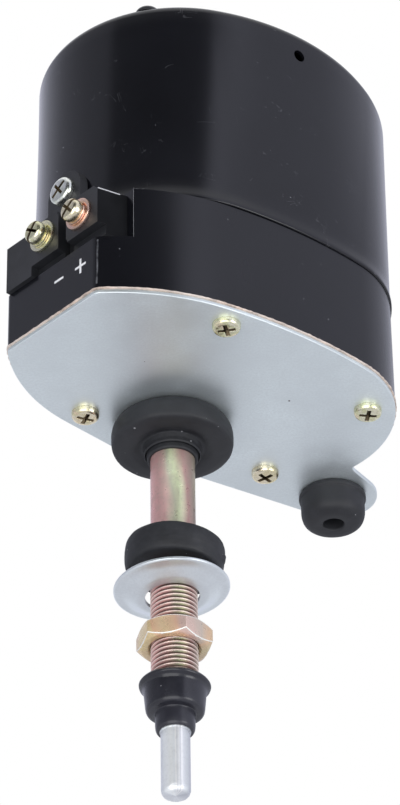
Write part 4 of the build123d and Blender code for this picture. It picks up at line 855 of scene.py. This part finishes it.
# narrow bevels along the notch get the painted highlight
pick_faces(housing, FACET_M, lambda c, w, nn: 18.2 < c.y < 31.8 and c.x > 22.3 and abs(c.z + 7.0) < 0.6 and w < 0.24 and abs(nn.y) < 0.3, M_EDGE_HIGHLIGHT)
pick_faces(housing, FACET_M, lambda c, w, nn: c.y > 31.9 and 20.5 < c.x < 25.0 and abs(c.z + 8.2) < 1.2 and w < 0.24, M_EDGE_HIGHLIGHT)
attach(housing, "motor_unit")
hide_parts("gear_housing")
# posts, saddles, axle boss and worm pillar stand inside the shell
RDX = unit(20.0)
RNX = (-RDX[1], RDX[0])


def rpt(s, t):
    return (s * RDX[0] + t * RNX[0], s * RDX[1] + t * RNX[1])


posts = []
for x, y in SCREW_XY:
    posts.append(lathe_data([(2.05, HZ0), (3.2, HZ0), (3.5, HZ0 + 0.3), (3.5, DECK0 + 0.2), (2.05, DECK0 + 0.2)], 32,
                            matrix=Matrix.Translation((x, y, 0))))
for s, t in ((-15.0, -21.2), (5.0, -21.2)):
    x, y = rpt(s, t)
    posts.append(lathe_data([(1.3, 21.6), (2.8, 21.6), (3.0, 21.8), (3.0, DECK0 + 0.2), (1.3, DECK0 + 0.2)], 24, matrix=Matrix.Translation((x, y, 0))))
posts.append(lathe_data([(5.5, 28.0), (7.5, 28.0), (7.5, 50.1), (7.2, 50.4), (5.5, 50.4)], 48, matrix=Matrix.Translation((27.0, 1.0, 0))))
inner_posts = to_obj("housing_bosses", *merge(*posts), M_HOUSING)
saddles = []
for x0 in (-18.5, 0.5):
    pts = [(-15.0, 33.0), (15.0, 33.0)]
    for i in range(13):
        yy = 15.0 - 30.0 * i / 12
        pts.append((yy, min(44.0, 56.0 - math.sqrt(21.52 ** 2 - yy * yy))))
    n = len(pts)
    v = [(x0, -21.5 + p[0], p[1]) for p in pts] + [(x0 + 4, -21.5 + p[0], p[1]) for p in pts]
    f = [tuple(range(n)), tuple(range(2 * n - 1, n - 1, -1))] + [(i, (i + 1) % n, n + (i + 1) % n, n + i) for i in range(n)]
    saddles.append((v, f))
saddle = to_obj("motor_saddles", *merge(*saddles), M_HOUSING)
pillar = to_obj("worm_pillar", *box_data(36.0, 42.4, -25.3, -16.5, HZ1, 61.0), M_HOUSING, body=None)
axm = Matrix.Translation((0, -21.5, 56.0)) @ Matrix.Rotation(math.radians(90), 4, "Y")
cut(pillar, loose("pc1", *prism_data(circle_pts(4.02, 40), 30.0, 40.0), matrix=axm), loose("pc2", *prism_data(circle_pts(2.2, 24), 39.0, 46.0), matrix=axm))
bevel(pillar, 0.5, 2)
bake(pillar)
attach(pillar, "motor_unit")

# generic plus and minus marks on the facet
def mark_bar(a0, a1, z0, z1):
    v, f = box_data(a0, a1, z0, z1, 0.01, 0.07)
    return [tuple(FACET_M @ Vector(p)) for p in v], f


minus = to_obj("minus_mark", *mark_bar(1.6, 5.0, 11.3, 12.0), M_INK)
plus = to_obj("plus_mark", *mark_bar(9.4, 13.4, 11.1, 11.8), M_INK, body=None)
cut(plus, loose("plus_v", *mark_bar(11.05, 11.75, 9.2, 13.7)), op="UNION")
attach(plus, "motor_unit")
for o in (minus, plus):
    bevel(o, 0.12, 2)
    bake(o)

# ---------------------------------------------------------------------------
# base plate, gasket and screws
# ---------------------------------------------------------------------------
EAR_C, EAR_R, EAR_NOTCH = (43.7, 34.6), 10.3, (46.75, 20.9)


def plate_pts():
    u = unit(FAR_DEG)
    n_far = (u[1], -u[0])
    v = vsub(EAR_C, EAR_NOTCH)
    D = math.hypot(*v)
    beta, al = vang(v), math.asin(EAR_R / D)
    L = math.sqrt(D * D - EAR_R ** 2)
    tp = (EAR_NOTCH[0] + L * math.cos(beta - al), EAR_NOTCH[1] + L * math.sin(beta - al))
    a0, a1 = vang(vsub(tp, EAR_C)), vang(n_far)
    base = housing_pts(0.0)
    # leave the outline on the right lobe at the notch and come back on the far straight edge
    c3 = RIGHT_FAR
    an = vang(vsub(EAR_NOTCH, c3))
    start = min(range(len(base)), key=lambda i: math.dist(base[i], polar(c3, c3[2], an - 0.045)))
    end = min(range(len(base)), key=lambda i: math.dist(base[i], polar(c3, c3[2], vang(n_far))))
    q0 = polar(c3, c3[2], an - 0.03)
    q2 = (EAR_NOTCH[0] + (tp[0] - EAR_NOTCH[0]) * 0.28, EAR_NOTCH[1] + (tp[1] - EAR_NOTCH[1]) * 0.28)
    notch_curve = []
    for i in range(1, 7):
        t = i / 7
        notch_curve.append(((1 - t) ** 2 * q0[0] + 2 * t * (1 - t) * EAR_NOTCH[0] + t * t * q2[0],
                            (1 - t) ** 2 * q0[1] + 2 * t * (1 - t) * EAR_NOTCH[1] + t * t * q2[1]))
    ear = arc_run(EAR_C, EAR_R, a0, a1, 40) + [polar(EAR_C, EAR_R, a1)]
    return base[:start + 1] + notch_curve + ear + base[end:]


pp = plate_pts()
plate = to_obj("plate_sheet", *prism_data(pp, 0.0, 1.2), M_PLATE, body=None)
holes = [loose("h0", *prism_data(circle_pts(5.78, 64), -1, 3)), loose("h1", *prism_data(circle_pts(5.0, 48, *FOOT_XY), -1, 3))]
for i, (x, y) in enumerate(SCREW_XY):
    holes.append(loose("hs%d" % i, *prism_data(circle_pts(2.2, 32, x, y), -1, 3)))
cut(plate, *holes)
bevel(plate, 0.28, 3, 40)
bake(plate, 40)
weigh(plate)
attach(plate, "motor_unit")
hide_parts("base_plate")

gp = housing_pts(-0.30, 3.0)
gp = [(x + 0.22 * n3(x, y, 0, 0.9, 3.1), y + 0.22 * n3(x, y, 5, 0.9, 8.1)) for x, y in gp]
gin = housing_pts(4.0, 1.0)
gasket = to_obj("gasket_sheet", *prism_data(gp, 1.2, 1.60), M_GASKET, body=None)
cut(gasket, loose("gu", *prism_data(housing_pts(0.65), 1.5, 1.8)), op="UNION")
cut(gasket, loose("gi", *prism_data(gin, 0, 3)))
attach(gasket, "motor_unit")
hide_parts("base_gasket")

SCREWS = [(*xy, t) for xy, t in zip(SCREW_XY, (12, -22, 38, -8))]
SCREW_LOOK = (M_SCREW, M_SCREW_TAN, M_SCREW_TAN, M_SCREW)


def cross_cutter(name, matrix, size, width, depth, taper=0.55):
    """A Phillips recess: two crossed wedges that narrow downwards."""
    parts = []
    for k in (0, 1):
        c, s = (1, 0) if k == 0 else (0, 1)
        a, b = size / 2, width / 2
        top = [(-a, -b), (a, -b), (a, b), (-a, b)]
        v = []
        for z, sc in ((0.6, 1.0), (-depth, taper)):
            for x, y in top:
                x2, y2 = x * sc, y * (0.75 if z < 0 else 1.0)
                v.append((x2 * c - y2 * s, x2 * s + y2 * c, z))
        f = [(0, 1, 2, 3), (7, 6, 5, 4), (0, 4, 5, 1), (1, 5, 6, 2), (2, 6, 7, 3), (3, 7, 4, 0)]
        parts.append(loose(name + str(k), v, f, matrix=matrix))
    return parts


def pan_head(r, h, shank_r, shank_l):
    """Profile with the head's seat at z = 0, the head in +z and the shank in -z."""
    return round_profile([(0, -shank_l), (shank_r * 0.6, -shank_l), (shank_r, -shank_l + 0.9), (shank_r, 0), (r, 0), (r, h * 0.38),
                          (r * 0.86, h * 0.78), (r * 0.55, h * 0.97), (0, h)],
                         [0, 0.2, 0.2, 0, 0.12, 0.5, 0.9, 0.8, 0], 4, closed=False)


def flat_pan(r, h, shank_r, shank_l):
    """The same, with a flat crown and a steep rounded rim."""
    return round_profile([(0, -shank_l), (shank_r * 0.6, -shank_l), (shank_r, -shank_l + 0.9), (shank_r, 0), (r, 0), (r, h * 0.5),
                          (r * 0.93, h * 0.80), (r * 0.76, h * 0.97), (0, h)],
                         [0, 0.2, 0.2, 0, 0.1, 0.4, 0.5, 0.5, 0], 4, closed=False)


screw_obs = []
for i, (x, y, t) in enumerate(SCREWS):
    m = Matrix.Translation((x, y, 0)) @ Matrix.Rotation(math.pi, 4, "X") @ Matrix.Rotation(math.radians(t), 4, "Z")
    ob = to_obj("plate_screw_%d" % i, *lathe_data(flat_pan(3.58, 1.88, 1.95, 11.5), 64, matrix=m), SCREW_LOOK[i], body=None)
    hm = m @ Matrix.Translation((0, 0, 1.86))
    cutters = cross_cutter("ps%d" % i, hm, 5.4, 1.15, 1.3)
    cut(ob, *cutters)
    bevel(ob, 0.07, 2, 40)
    bake(ob, 35)
    # the cross recess of each plate screw gets the painted shade
    pick_faces(ob, m, lambda c, w, nn: 0.4 < c.z < 1.78 and math.hypot(c.x, c.y) < 2.66, M_RECESS_SHADE)
    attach(ob, "motor_unit")
    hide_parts("base_plate_screws")
    screw_obs.append(ob)

# locating foot
def foot_warp(r, z, a):
    w = 0.07 * n3(math.cos(a) * 2, math.sin(a) * 2, z * 0.3, 1.0, 4.0)
    if r > 8.7:
        w += 0.06 * n3(math.cos(a) * 6, math.sin(a) * 6, z, 1.0, 9.0)
    return r + (w if r > 5 and z < 0 else 0), z


foot_prof = round_profile([(2.8, 0.2), (2.8, -8.95), (3.1, -9.28), (5.2, -9.3), (6.9, -8.9), (8.0, -7.9), (8.45, -6.3), (8.5, -1.95), (8.93, -1.6), (8.93, -0.8),
                           (8.6, -0.06), (4.95, -0.02), (4.95, 1.22), (6.3, 1.24), (6.3, 2.3), (5.4, 3.55), (0, 3.6), (0, 0.2)],
                          [0, .2, .3, .8, .9, .9, .9, .2, .3, .3, .2, 0, 0, .2, .5, .6, 0, 0], 5)
foot = to_obj("foot_pad", *lathe_data(foot_prof, 80, warp=foot_warp, matrix=Matrix.Translation((FOOT_XY[0], FOOT_XY[1], 0)), closed=False), M_RUBBER2)
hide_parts("locating_foot")

# ---------------------------------------------------------------------------
# spindle tube with a real helical thread
# ---------------------------------------------------------------------------
PITCH = 1.25
THREAD_TOP, TUBE_END = -40.2, -82.5


def thread_r(z, a):
    ph = (z / PITCH - a / (2 * math.pi)) % 1.0
    h = 1.0 - abs(ph - 0.5) * 2.0                 # crest at 1, root at 0
    h = min(1.0, max(0.0, (h - 0.10) / 0.74))
    h = h * h * (3 - 2 * h) * 0.35 + h * 0.65
    lead_top = min(1.0, max(0.0, (THREAD_TOP - z) / 1.6))
    lead_bot = min(1.0, max(0.0, (z - TUBE_END) / 1.3))
    deep = 0.70 * lead_top
    r = 5.95 - deep * (1 - h)
    r = 5.75 + (r - 5.75) * min(1.0, max(0.0, (THREAD_TOP + 0.3 - z) / 0.6)) if z > THREAD_TOP - 0.6 else r
    return r - 0.55 * (1 - lead_bot) ** 1.5


segs = 112
rows = []
z = 1.2
rows_z = [1.2, 0.6, 0.0, -3.0, -7.0] + [-7.0 - 1.5 * i for i in range(1, 22)] + [-39.6, -39.9]
zz = -40.1
while zz > TUBE_END + 0.05:
    rows_z.append(zz)
    zz -= PITCH / 14
rows_z.append(TUBE_END)
tv, tf = [], []
for z in rows_z:
    for i in range(segs):
        a = 2 * math.pi * i / segs
        r = thread_r(z, a) if z <= -40.0 else 5.75
        tv.append((r * math.cos(a), r * math.sin(a), z))
for k in range(len(rows_z) - 1):
    for i in range(segs):
        j = (i + 1) % segs
        tf.append((k * segs + i, k * segs + j, (k + 1) * segs + j, (k + 1) * segs + i))
rest = [(4.62, TUBE_END), (4.62, 9.0), (7.2, 9.0), (7.2, 3.8), (9.0, 3.0), (9.0, 1.2)]
base_row = (len(rows_z) - 1) * segs
prev = base_row
for r, z in rest:
    k = len(tv)
    tv += [(r * math.cos(2 * math.pi * i / segs), r * math.sin(2 * math.pi * i / segs), z) for i in range(segs)]
    tf += [(prev + i, prev + (i + 1) % segs, k + (i + 1) % segs, k + i) for i in range(segs)]
    prev = k
tf += [(prev + i, prev + (i + 1) % segs, (i + 1) % segs, i) for i in range(segs)]
tube = to_obj("threaded_tube", tv, tf, M_TUBE, angle=60)
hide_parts("spindle_tube")

# ---------------------------------------------------------------------------
# rubbers
# ---------------------------------------------------------------------------
def grom_warp(r, z, a):
    k = 0.13 * n3(math.cos(a) * 1.7, math.sin(a) * 1.7, z * 0.25, 1.0, 1.0) + 0.05 * n3(math.cos(a) * 9, math.sin(a) * 9, z, 1.0, 6.0)
    return (r + k if r > 6.5 else r), z + (0.06 * n3(math.cos(a) * 5, math.sin(a) * 5, r, 1.0, 2.0) if -7.65 < z < -7.2 else 0)


GH = 7.6
grom_prof = round_profile([(5.8, -0.02), (13.3, -0.02), (14.0, -0.2), (14.8, -0.85), (15.35, -1.8), (15.65, -2.8), (15.75, -3.8), (15.73, -5.9), (15.5, -6.9), (14.9, -7.35), (13.6, -GH),
                           (10.6, -GH), (9.4, -7.25), (8.5, -6.9), (7.75, -6.95), (7.45, -8.2), (7.42, -9.25), (7.15, -9.6), (6.95, -9.4), (6.85, -8.9), (6.6, -8.9), (6.58, -10.6),
                           (6.3, -11.0), (5.8, -10.95)],
                          [0, .15, .3, .4, .4, .4, .4, .6, .6, .5, .8, .8, .6, .5, .4, .3, .3, .2, .15, .1, .1, .3, .2, 0], 4)
grommet = to_obj("grommet_pad", *lathe_data(grom_prof, 128, warp=grom_warp), M_RUBBER)
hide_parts("panel_grommet")


def ring_warp(r, z, a):
    k = 0.0
    if r > 8:
        k = 0.20 * n3(math.cos(a) * 1.6, math.sin(a) * 1.6, z * 0.3, 1.0, 12.0) + 0.07 * n3(math.cos(a) * 8, math.sin(a) * 8, z, 1.0, 3.0)
        # a small flash of rubber on one side
        d = abs((a - math.radians(-8) + math.pi) % (2 * math.pi) - math.pi)
        if d < 0.14 and -42.6 < z < -40.5:
            k += 0.55 * (1 - d / 0.14)
    return (r + k if r > 7 else r), z + (0.07 * n3(math.cos(a) * 4, math.sin(a) * 4, 0, 1.0, 5.0) if r > 7 else 0)


ring_prof = round_profile([(6.45, -45.0), (11.4, -45.0), (12.1, -44.4), (12.4, -43.2), (12.62, -41.6), (12.75, -40.2), (12.72, -38.4), (12.45, -37.45), (11.9, -37.1), (6.45, -37.1)],
                          [.3, .7, .5, .6, .6, .6, .5, .35, .35, .3], 5)
RING_M = Matrix.Translation((0.2, 0, -41.05)) @ Matrix.Rotation(math.radians(3.6), 4, "Y") @ Matrix.Translation((0, 0, 41.05))
ring = to_obj("clamp_ring_rubber", *lathe_data(ring_prof, 112, warp=ring_warp, matrix=RING_M), M_RUBBER2, body="ring")
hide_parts("clamp_rubber_ring")

# ---------------------------------------------------------------------------
# dished washer, nut, cap and shaft
# ---------------------------------------------------------------------------
ZR = -50.2
wash_prof = round_profile([(6.9, ZR - 2.1), (8.9, ZR - 2.1), (12.4, ZR - 0.25), (14.35, ZR + 0.0), (14.7, ZR + 0.3), (14.7, ZR + 0.8), (14.35, ZR + 1.1),
                           (12.2, ZR + 0.85), (8.7, ZR - 1.0), (6.9, ZR - 1.0)],
                          [.2, 1.6, 1.6, .15, .15, .15, .15, 1.6, 1.6, .2], 5)
WASH_M = Matrix.Translation((-0.5, 0, ZR)) @ Matrix.Rotation(math.radians(-3.2), 4, "Y") @ Matrix.Translation((0, 0, -ZR))


def wash_warp(r, z, a):
    return r + 0.03 * n3(math.cos(a) * 3, math.sin(a) * 3, 0, 1.0, 2.0), z + 0.05 * n3(math.cos(a) * 1.5, math.sin(a) * 1.5, r * 0.1, 1.0, 7.0)


washer = to_obj("dished_washer", *lathe_data(wash_prof, 128, warp=wash_warp, matrix=WASH_M), M_WASHER, body="washer")
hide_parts("clamp_washer")

NZ0, NZ1 = -67.6, -62.1
hexpts = circle_pts(17.0 / 2 / math.cos(math.pi / 6), 6, a0=math.radians(47.8))
fine_hex = []
for i in range(6):
    p, q = hexpts[i], hexpts[(i + 1) % 6]
    fine_hex += [(p[0] + (q[0] - p[0]) * k / 6, p[1] + (q[1] - p[1]) * k / 6) for k in range(6)]
nut = to_obj("hex_nut", *prism_data(fine_hex, NZ0, NZ1), M_NUT, body=None)
cone = loose("nut_cone", *lathe_data([(0, NZ0 - 0.02), (8.15, NZ0 - 0.02), (9.95, NZ0 + 1.15), (9.95, NZ1 - 1.15), (8.15, NZ1 + 0.02), (0, NZ1 + 0.02)], 96))
cut(nut, cone, op="INTERSECT")
nb = loose("nut_bore", *lathe_data([(0, NZ0 - 1), (6.75, NZ0 - 0.5), (6.75, NZ0), (6.04, NZ0 + 0.8), (6.04, NZ1 - 0.8), (6.75, NZ1), (6.75, NZ1 + 0.5), (0, NZ1 + 1)], 96))
cut(nut, nb)
bevel(nut, 0.17, 2, 18)
bake(nut, 40)
# the nut's outer edge bevels get the painted highlight
pick_faces(nut, Matrix.Identity(4), lambda c, w, nn: w < 0.13 and math.hypot(c.x, c.y) > 8.35, M_NUT_EDGE_HIGHLIGHT)
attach(nut, "nut")
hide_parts("mounting_nut")


def cap_warp(r, z, a):
    z += -0.026 * r * math.cos(a) * (1.0 if r > 5.9 and z > -86.5 else 0.0)      # moulded slightly out of square
    if r < 6:
        return r, z
    return r + 0.06 * n3(math.cos(a) * 1.5, math.sin(a) * 1.5, z * 0.3, 1.0, 2.5), z + (0.10 * n3(math.cos(a) * 3, math.sin(a) * 3, 0, 1.0, 5.5) if z > -79.5 else 0)


CZ = -77.0
cap_prof = round_profile([(6.0, CZ), (7.6, CZ + 0.2), (8.6, CZ - 0.5), (8.95, CZ - 1.05), (8.85, CZ - 1.45), (8.15, CZ - 1.95), (7.85, CZ - 2.6), (7.42, -84.4), (7.3, -85.2),
                          (6.9, -85.8), (6.2, -85.95), (5.1, -86.05), (5.0, -86.6), (4.98, -89.4), (4.85, -90.5), (4.5, -91.1), (4.0, -91.1), (3.97, -89.1), (4.3, -88.7),
                          (4.3, -83.6), (5.98, -82.9)],
                         [.15, .2, .15, .1, .15, .3, .3, .3, .4, .3, .2, .2, .25, .3, .25, .2, .1, 0, 0, 0, 0], 4)
cap = to_obj("spindle_cap", *lathe_data(cap_prof, 96, warp=cap_warp), M_CAP)
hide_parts("dust_cap")

shaft_prof = round_profile([(0, -108.7), (2.95, -108.7), (3.30, -108.35), (3.62, -107.6), (3.65, -106.9), (3.65, -91.2), (3.9, -91.2), (3.9, -60), (3.9, -20), (3.9, 20.4), (3.4, 20.4),
                            (3.4, 21.4), (3.9, 21.4), (3.9, 22.5), (3.4, 23.0), (0, 23.0)], [0, .2, .3, .3, .2, 0, 0, 0, 0, 0, 0, 0, 0, 0, 0, 0], 3, closed=False)


def shaft_warp(r, z, a):
    if z < -107.2:
        return r * (1 + 0.02 * n3(math.cos(a) * 4, math.sin(a) * 4, z, 1.0, 1.0)), z + 0.10 * n3(math.cos(a) * r, math.sin(a) * r, 0, 1.1, 3.3)
    return r, z


shaft = to_obj("spindle_shaft", *lathe_data(shaft_prof, 72, warp=shaft_warp), M_SHAFT, body="output_spindle")
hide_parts("output_shaft")

# ---------------------------------------------------------------------------
# terminal block, screws and washers (facet coordinates)
# ---------------------------------------------------------------------------
TERM = {"signal": (-1.5, 27.3), "supply": (12.3, 26.4)}
GA, GZ = GROUND_AZ
TONGUE_O, TONGUE_T = -5.45, 2.55
BLOCK_AO = [(-15.7, NOTCH_O + 0.05), (21.15, NOTCH_O + 0.05), (19.0, 1.2), (-15.7, 1.2)]
bn = len(BLOCK_AO)
bv = [tuple(FACET_M @ Vector((a, LEDGE, o))) for a, o in BLOCK_AO] + [tuple(FACET_M @ Vector((a, 31.4, o))) for a, o in BLOCK_AO]
bf = [tuple(range(bn)), tuple(range(2 * bn - 1, bn - 1, -1))] + [(i, (i + 1) % bn, bn + (i + 1) % bn, bn + i) for i in range(bn)]
block = to_obj("terminal_moulding", bv, bf, M_BLOCK, body=None)
cutters = [
    loose("b1", *box_data(-6.0, 30, LEDGE - 1, LEDGE + 3.0, -1.2, 5), matrix=FACET_M),
    loose("b2", *box_data(4.2, 7.6, LEDGE - 1, 40, -2.8, 5), matrix=FACET_M),
]
cut(block, *cutters)
tongue_pts = [(GA - 6.2, 30.4), (GA + 6.2, 30.4)] + [(GA + 6.2 * math.cos(math.pi * i / 24), GZ + 6.2 * math.sin(math.pi * i / 24)) for i in range(25)]
tongue = loose("tongue", *prism_data(tongue_pts, TONGUE_O + 0.08, TONGUE_O + TONGUE_T), matrix=FACET_M)
cut(block, tongue, op="UNION")
for i, (a, z) in enumerate(TERM.values()):
    cut(block, loose("pad%d" % i, *box_data(a - 5.2, a + 5.2, z - 5.0, 32.6, -5.0, 1.18), matrix=FACET_M), op="UNION")
holes = [loose("th%d" % i, *prism_data(circle_pts(1.75, 28, a, z), -12, 5), matrix=FACET_M) for i, (a, z) in enumerate(list(TERM.values()) + [(GA, GZ)])]
cut(block, *holes)
clear = loose("clear", *merge(prism_data(cover_pts(BOTTOM, -0.45, (60, 24, 20, 30, 6)), DECK0 - 0.05, HZ1 + 5.0)))
cut(block, clear)
bevel(block, 0.3, 2, 40)
bake(block, 35)
weigh(block)
# the top edge of the block's right end gets the painted highlight
pick_faces(block, FACET_M, lambda c, w, nn: c.y > 31.0 and c.x > 18.3 and w < 0.3 and abs(c.x - 19.0 - (1.2 - c.z) * 0.264) < 0.6, M_EDGE_HIGHLIGHT)
# the block's right end face gets the painted shade
pick_faces(block, FACET_M, lambda c, w, nn: c.x > 18.8 and w > 1.0 and nn.x > 0.8, M_SHADE_FACE)
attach(block, "motor_unit")
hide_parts("terminal_block")
# a thin lip along the top of the block's right end, light grey as a painted highlight
lip_in, lip_out = [(19.0, 1.1), (21.0, -6.9)], [(19.09, 1.12), (21.12, -6.92)]
LIP = [(lip_in[0], 31.02), (lip_in[1], 31.02), (lip_out[1], 31.06), (lip_out[0], 31.06), (lip_in[0], 31.42), (lip_in[1], 31.42), (lip_out[1], 31.34), (lip_out[0], 31.34)]
lip = to_obj("block_lip", [tuple(FACET_M @ Vector((q[0], z, q[1]))) for q, z in LIP],
             [(3, 2, 1, 0), (4, 5, 6, 7), (0, 1, 5, 4), (1, 2, 6, 5), (2, 3, 7, 6), (3, 0, 4, 7)], M_EDGE_HIGHLIGHT, body=None)
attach(lip, "motor_unit")


def terminal_screw(name, a, z, o, turn, material, slot_name, node, r=3.05, h=2.5, slot_len=8.0):
    m = FACET_M @ Matrix.Translation((a, z, o)) @ Matrix.Rotation(math.radians(turn), 4, "Z")
    ob = to_obj(name, *lathe_data(flat_pan(r, h, 1.65, 8.0 if node != "ground_screw" else 5.4), 56, matrix=m), material, body=None)
    cutters = []
    for k, (L, W) in enumerate(((slot_len, 0.95), (4.6, 0.80))):
        q = m @ Matrix.Rotation(math.radians(90 * k), 4, "Z")
        cutters.append(loose(name + "c%d" % k, *box_data(-L / 2, L / 2, -W / 2, W / 2, h - 1.2, h + 0.6), matrix=q))
    cut(ob, *cutters)
    bevel(ob, 0.08, 2, 40)
    bake(ob, 35)
    # the slots of the terminal screws get the painted shade
    pick_faces(ob, m, lambda c, w, nn: h - 1.3 < c.z < h - 0.16 and math.hypot(c.x, c.y) < r - 0.06 and
               (abs(c.y) < 0.50 and abs(c.x) < slot_len / 2 + 0.05 or abs(c.x) < 0.43 and abs(c.y) < 2.36), M_RECESS_SHADE)
    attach(ob, "motor_unit")
    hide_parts(node)
    return ob


def terminal_washers(name, a, z, material, slot_name, node):
    m = FACET_M @ Matrix.Translation((a, z, 0))
    flat = lathe_data(round_profile([(1.9, 1.22), (4.3, 1.22), (4.3, 2.02), (1.9, 2.02)], .12, 2), 56, matrix=m)
    # spring washer: a split coil, its ends offset
    v, f, n = [], [], 60
    prof = round_profile([(1.9, 0.0), (3.4, 0.0), (3.4, 0.8), (1.9, 0.8)], .1, 2)
    for i in range(n + 1):
        ang = math.radians(20 + 344 * i / n)
        lift = 0.10 * (i / n - 0.5)
        for r, zz in prof:
            v.append(tuple(m @ Vector((r * math.cos(ang), r * math.sin(ang), 2.08 + zz + lift))))
    k = len(prof)
    for i in range(n):
        for j in range(k):
            f.append((i * k + j, i * k + (j + 1) % k, (i + 1) * k + (j + 1) % k, (i + 1) * k + j))
    f += [tuple(range(k)), tuple(n * k + j for j in range(k - 1, -1, -1))]
    ob = to_obj(name, *merge(flat, (v, f)), material)
    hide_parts(node)


terminal_screw("signal_screw", *TERM["signal"], 2.95, 55, M_SCREW, "yellow_zinc", "signal_terminal_screw")
terminal_screw("supply_screw", *TERM["supply"], 2.95, 40, M_SCREW_TAN, "copper_zinc", "supply_terminal_screw")
terminal_screw("earth_screw", GA, GZ, TONGUE_O + TONGUE_T, 35, M_SCREW_SILVER, "bright_zinc", "ground_screw", r=3.85, h=2.15, slot_len=5.4)
terminal_washers("signal_washers", *TERM["signal"], M_SCREW, "yellow_zinc", "signal_terminal_washers")
terminal_washers("supply_washers", *TERM["supply"], M_SCREW_CU, "copper_zinc", "supply_terminal_washers")

# ---------------------------------------------------------------------------
# floor, light and camera
# ---------------------------------------------------------------------------
fv, ff = box_data(-9000, 9000, -9000, 9000, -2800, -2780)
floor = to_obj("floor", fv, ff, None, body=None)
fn = Nodes("pale_floor")
fnoise = fn.noise(6.0, 3.0)
fn.set(Base_Color=fn.mix(fn.remap(fnoise, 0, 1, 0.3, 0.7), (0.87, 0.87, 0.87), (0.90, 0.90, 0.90)), Roughness=fn.remap(fnoise, 0.6, 0.75))
floor.data.materials.append(fn.m)

world = bpy.data.worlds.new("studio")
scene.world = world
world.use_nodes = True
wt = world.node_tree
for n in list(wt.nodes):
    wt.nodes.remove(n)


def wn(kind, **p):
    n = wt.nodes.new(kind)
    for k, v in p.items():
        setattr(n, k, v)
    return n


def wmath(op, a, b=None):
    n = wn("ShaderNodeMath", operation=op)
    for i, v in enumerate((a, b)):
        if v is None:
            continue
        if isinstance(v, (int, float)):
            n.inputs[i].default_value = v
        else:
            wt.links.new(v, n.inputs[i])
    return n.outputs[0]


wc = wn("ShaderNodeTexCoord")
sep = wn("ShaderNodeSeparateXYZ")
wt.links.new(wc.outputs["Generated"], sep.inputs[0])
# azimuth 0.5 is towards the camera's side (-Y), growing towards +X
az = wmath("ADD", wmath("DIVIDE", wmath("ARCTAN2", sep.outputs["X"], wmath("MULTIPLY", sep.outputs["Y"], -1.0)), 2 * math.pi), 0.5)


def stop(deg):
    return 0.5 + deg / 360.0


ramp = wn("ShaderNodeValToRGB")
els = ramp.color_ramp.elements
while len(els) > 1:
    els.remove(els[-1])
STOPS = [(-180, 0.90), (-150, 0.85), (-110, 0.47), (-80, 0.38), (-58, 0.37), (-52, 0.10), (-20, 0.055), (20, 0.065), (30, 0.12), (35.5, 0.98), (45, 1.05),
         (55, 0.78), (90, 0.62), (130, 0.66), (179.9, 0.88)]
for i, (d, v) in enumerate(STOPS):
    e = els[0] if i == 0 else els.new(stop(d))
    e.position = stop(d)
    e.color = (v * 0.90, v * 0.92, v * 1.09, 1.0)
wt.links.new(az, ramp.inputs["Fac"])
# straight up and down the room is plain white; the pattern fades there
up = wmath("ABSOLUTE", sep.outputs["Z"])
fade = wn("ShaderNodeMapRange")
fade.inputs["From Min"].default_value = 0.68
fade.inputs["From Max"].default_value = 0.88
wt.links.new(up, fade.inputs["Value"])
mixw = wn("ShaderNodeMix", data_type="RGBA")
mixw.inputs[7].default_value = (0.95, 0.96, 1.0, 1.0)
wt.links.new(fade.outputs[0], mixw.inputs[0])
# below the horizon the room is even
low = wn("ShaderNodeMapRange")
low.inputs["From Min"].default_value = -0.16
low.inputs["From Max"].default_value = 0.02
wt.links.new(sep.outputs["Z"], low.inputs["Value"])
mixl = wn("ShaderNodeMix", data_type="RGBA")
mixl.inputs[6].default_value = (0.86, 0.905, 0.955, 1.0)
wt.links.new(low.outputs[0], mixl.inputs[0])
wt.links.new(ramp.outputs["Color"], mixl.inputs[7])
wt.links.new(mixl.outputs[2], mixw.inputs[6])
light_path = wn("ShaderNodeLightPath")
mixc = wn("ShaderNodeMix", data_type="RGBA")
mixc.inputs[7].default_value = (1.0, 1.0, 1.0, 1.0)
wt.links.new(light_path.outputs["Is Camera Ray"], mixc.inputs[0])
wt.links.new(mixw.outputs[2], mixc.inputs[6])
bg = wn("ShaderNodeBackground")
bg.inputs["Strength"].default_value = 1.0
wt.links.new(mixc.outputs[2], bg.inputs["Color"])
wo = wn("ShaderNodeOutputWorld")
wt.links.new(bg.outputs[0], wo.inputs[0])


def area(name, loc, target, size, power, color=(1, 1, 1)):
    d = bpy.data.lights.new(name, "AREA")
    d.energy = power
    d.size = size
    d.color = color
    o = bpy.data.objects.new(name, d)
    o.location = loc
    o.rotation_mode = "QUATERNION"
    o.rotation_quaternion = (Vector(target) - Vector(loc)).to_track_quat("-Z", "Y")
    scene.collection.objects.link(o)


area("soft_side", (0.9, -0.7, -0.25), (0, 0, -0.02), 0.6, 3.9)
area("soft_low", (-0.25, -0.95, -0.42), (0, 0, -0.02), 1.1, 6.6)

cam = bpy.data.cameras.new("camera")
cam.sensor_width = 36.0
cam.lens = 3700.0 / 805.0 * 36.0
cam.clip_start, cam.clip_end = 0.05, 20.0
co = bpy.data.objects.new("camera", cam)
scene.collection.objects.link(co)
e, roll, f, D = math.radians(35.0), math.radians(-0.9), 3700.0, 3700.0 / 3.869
d = Vector((0, math.cos(e), math.sin(e)))
nv = Vector((0, -math.sin(e), math.cos(e)))
rv = Vector((1, 0, 0))
r2 = math.cos(roll) * rv + math.sin(roll) * nv
n2 = -math.sin(roll) * rv + math.cos(roll) * nv
x = (172.2 - 200.0) / f * D
y = (426.0 - 402.5) / f * D
C = -(x * r2 - y * n2 + D * d)
rot = Matrix((r2, n2, -d)).transposed()
co.matrix_world = Matrix.Translation(C * MM) @ rot.to_4x4()
scene.camera = co
scene.view_settings.view_transform = "Standard"
scene.view_settings.look = "None"
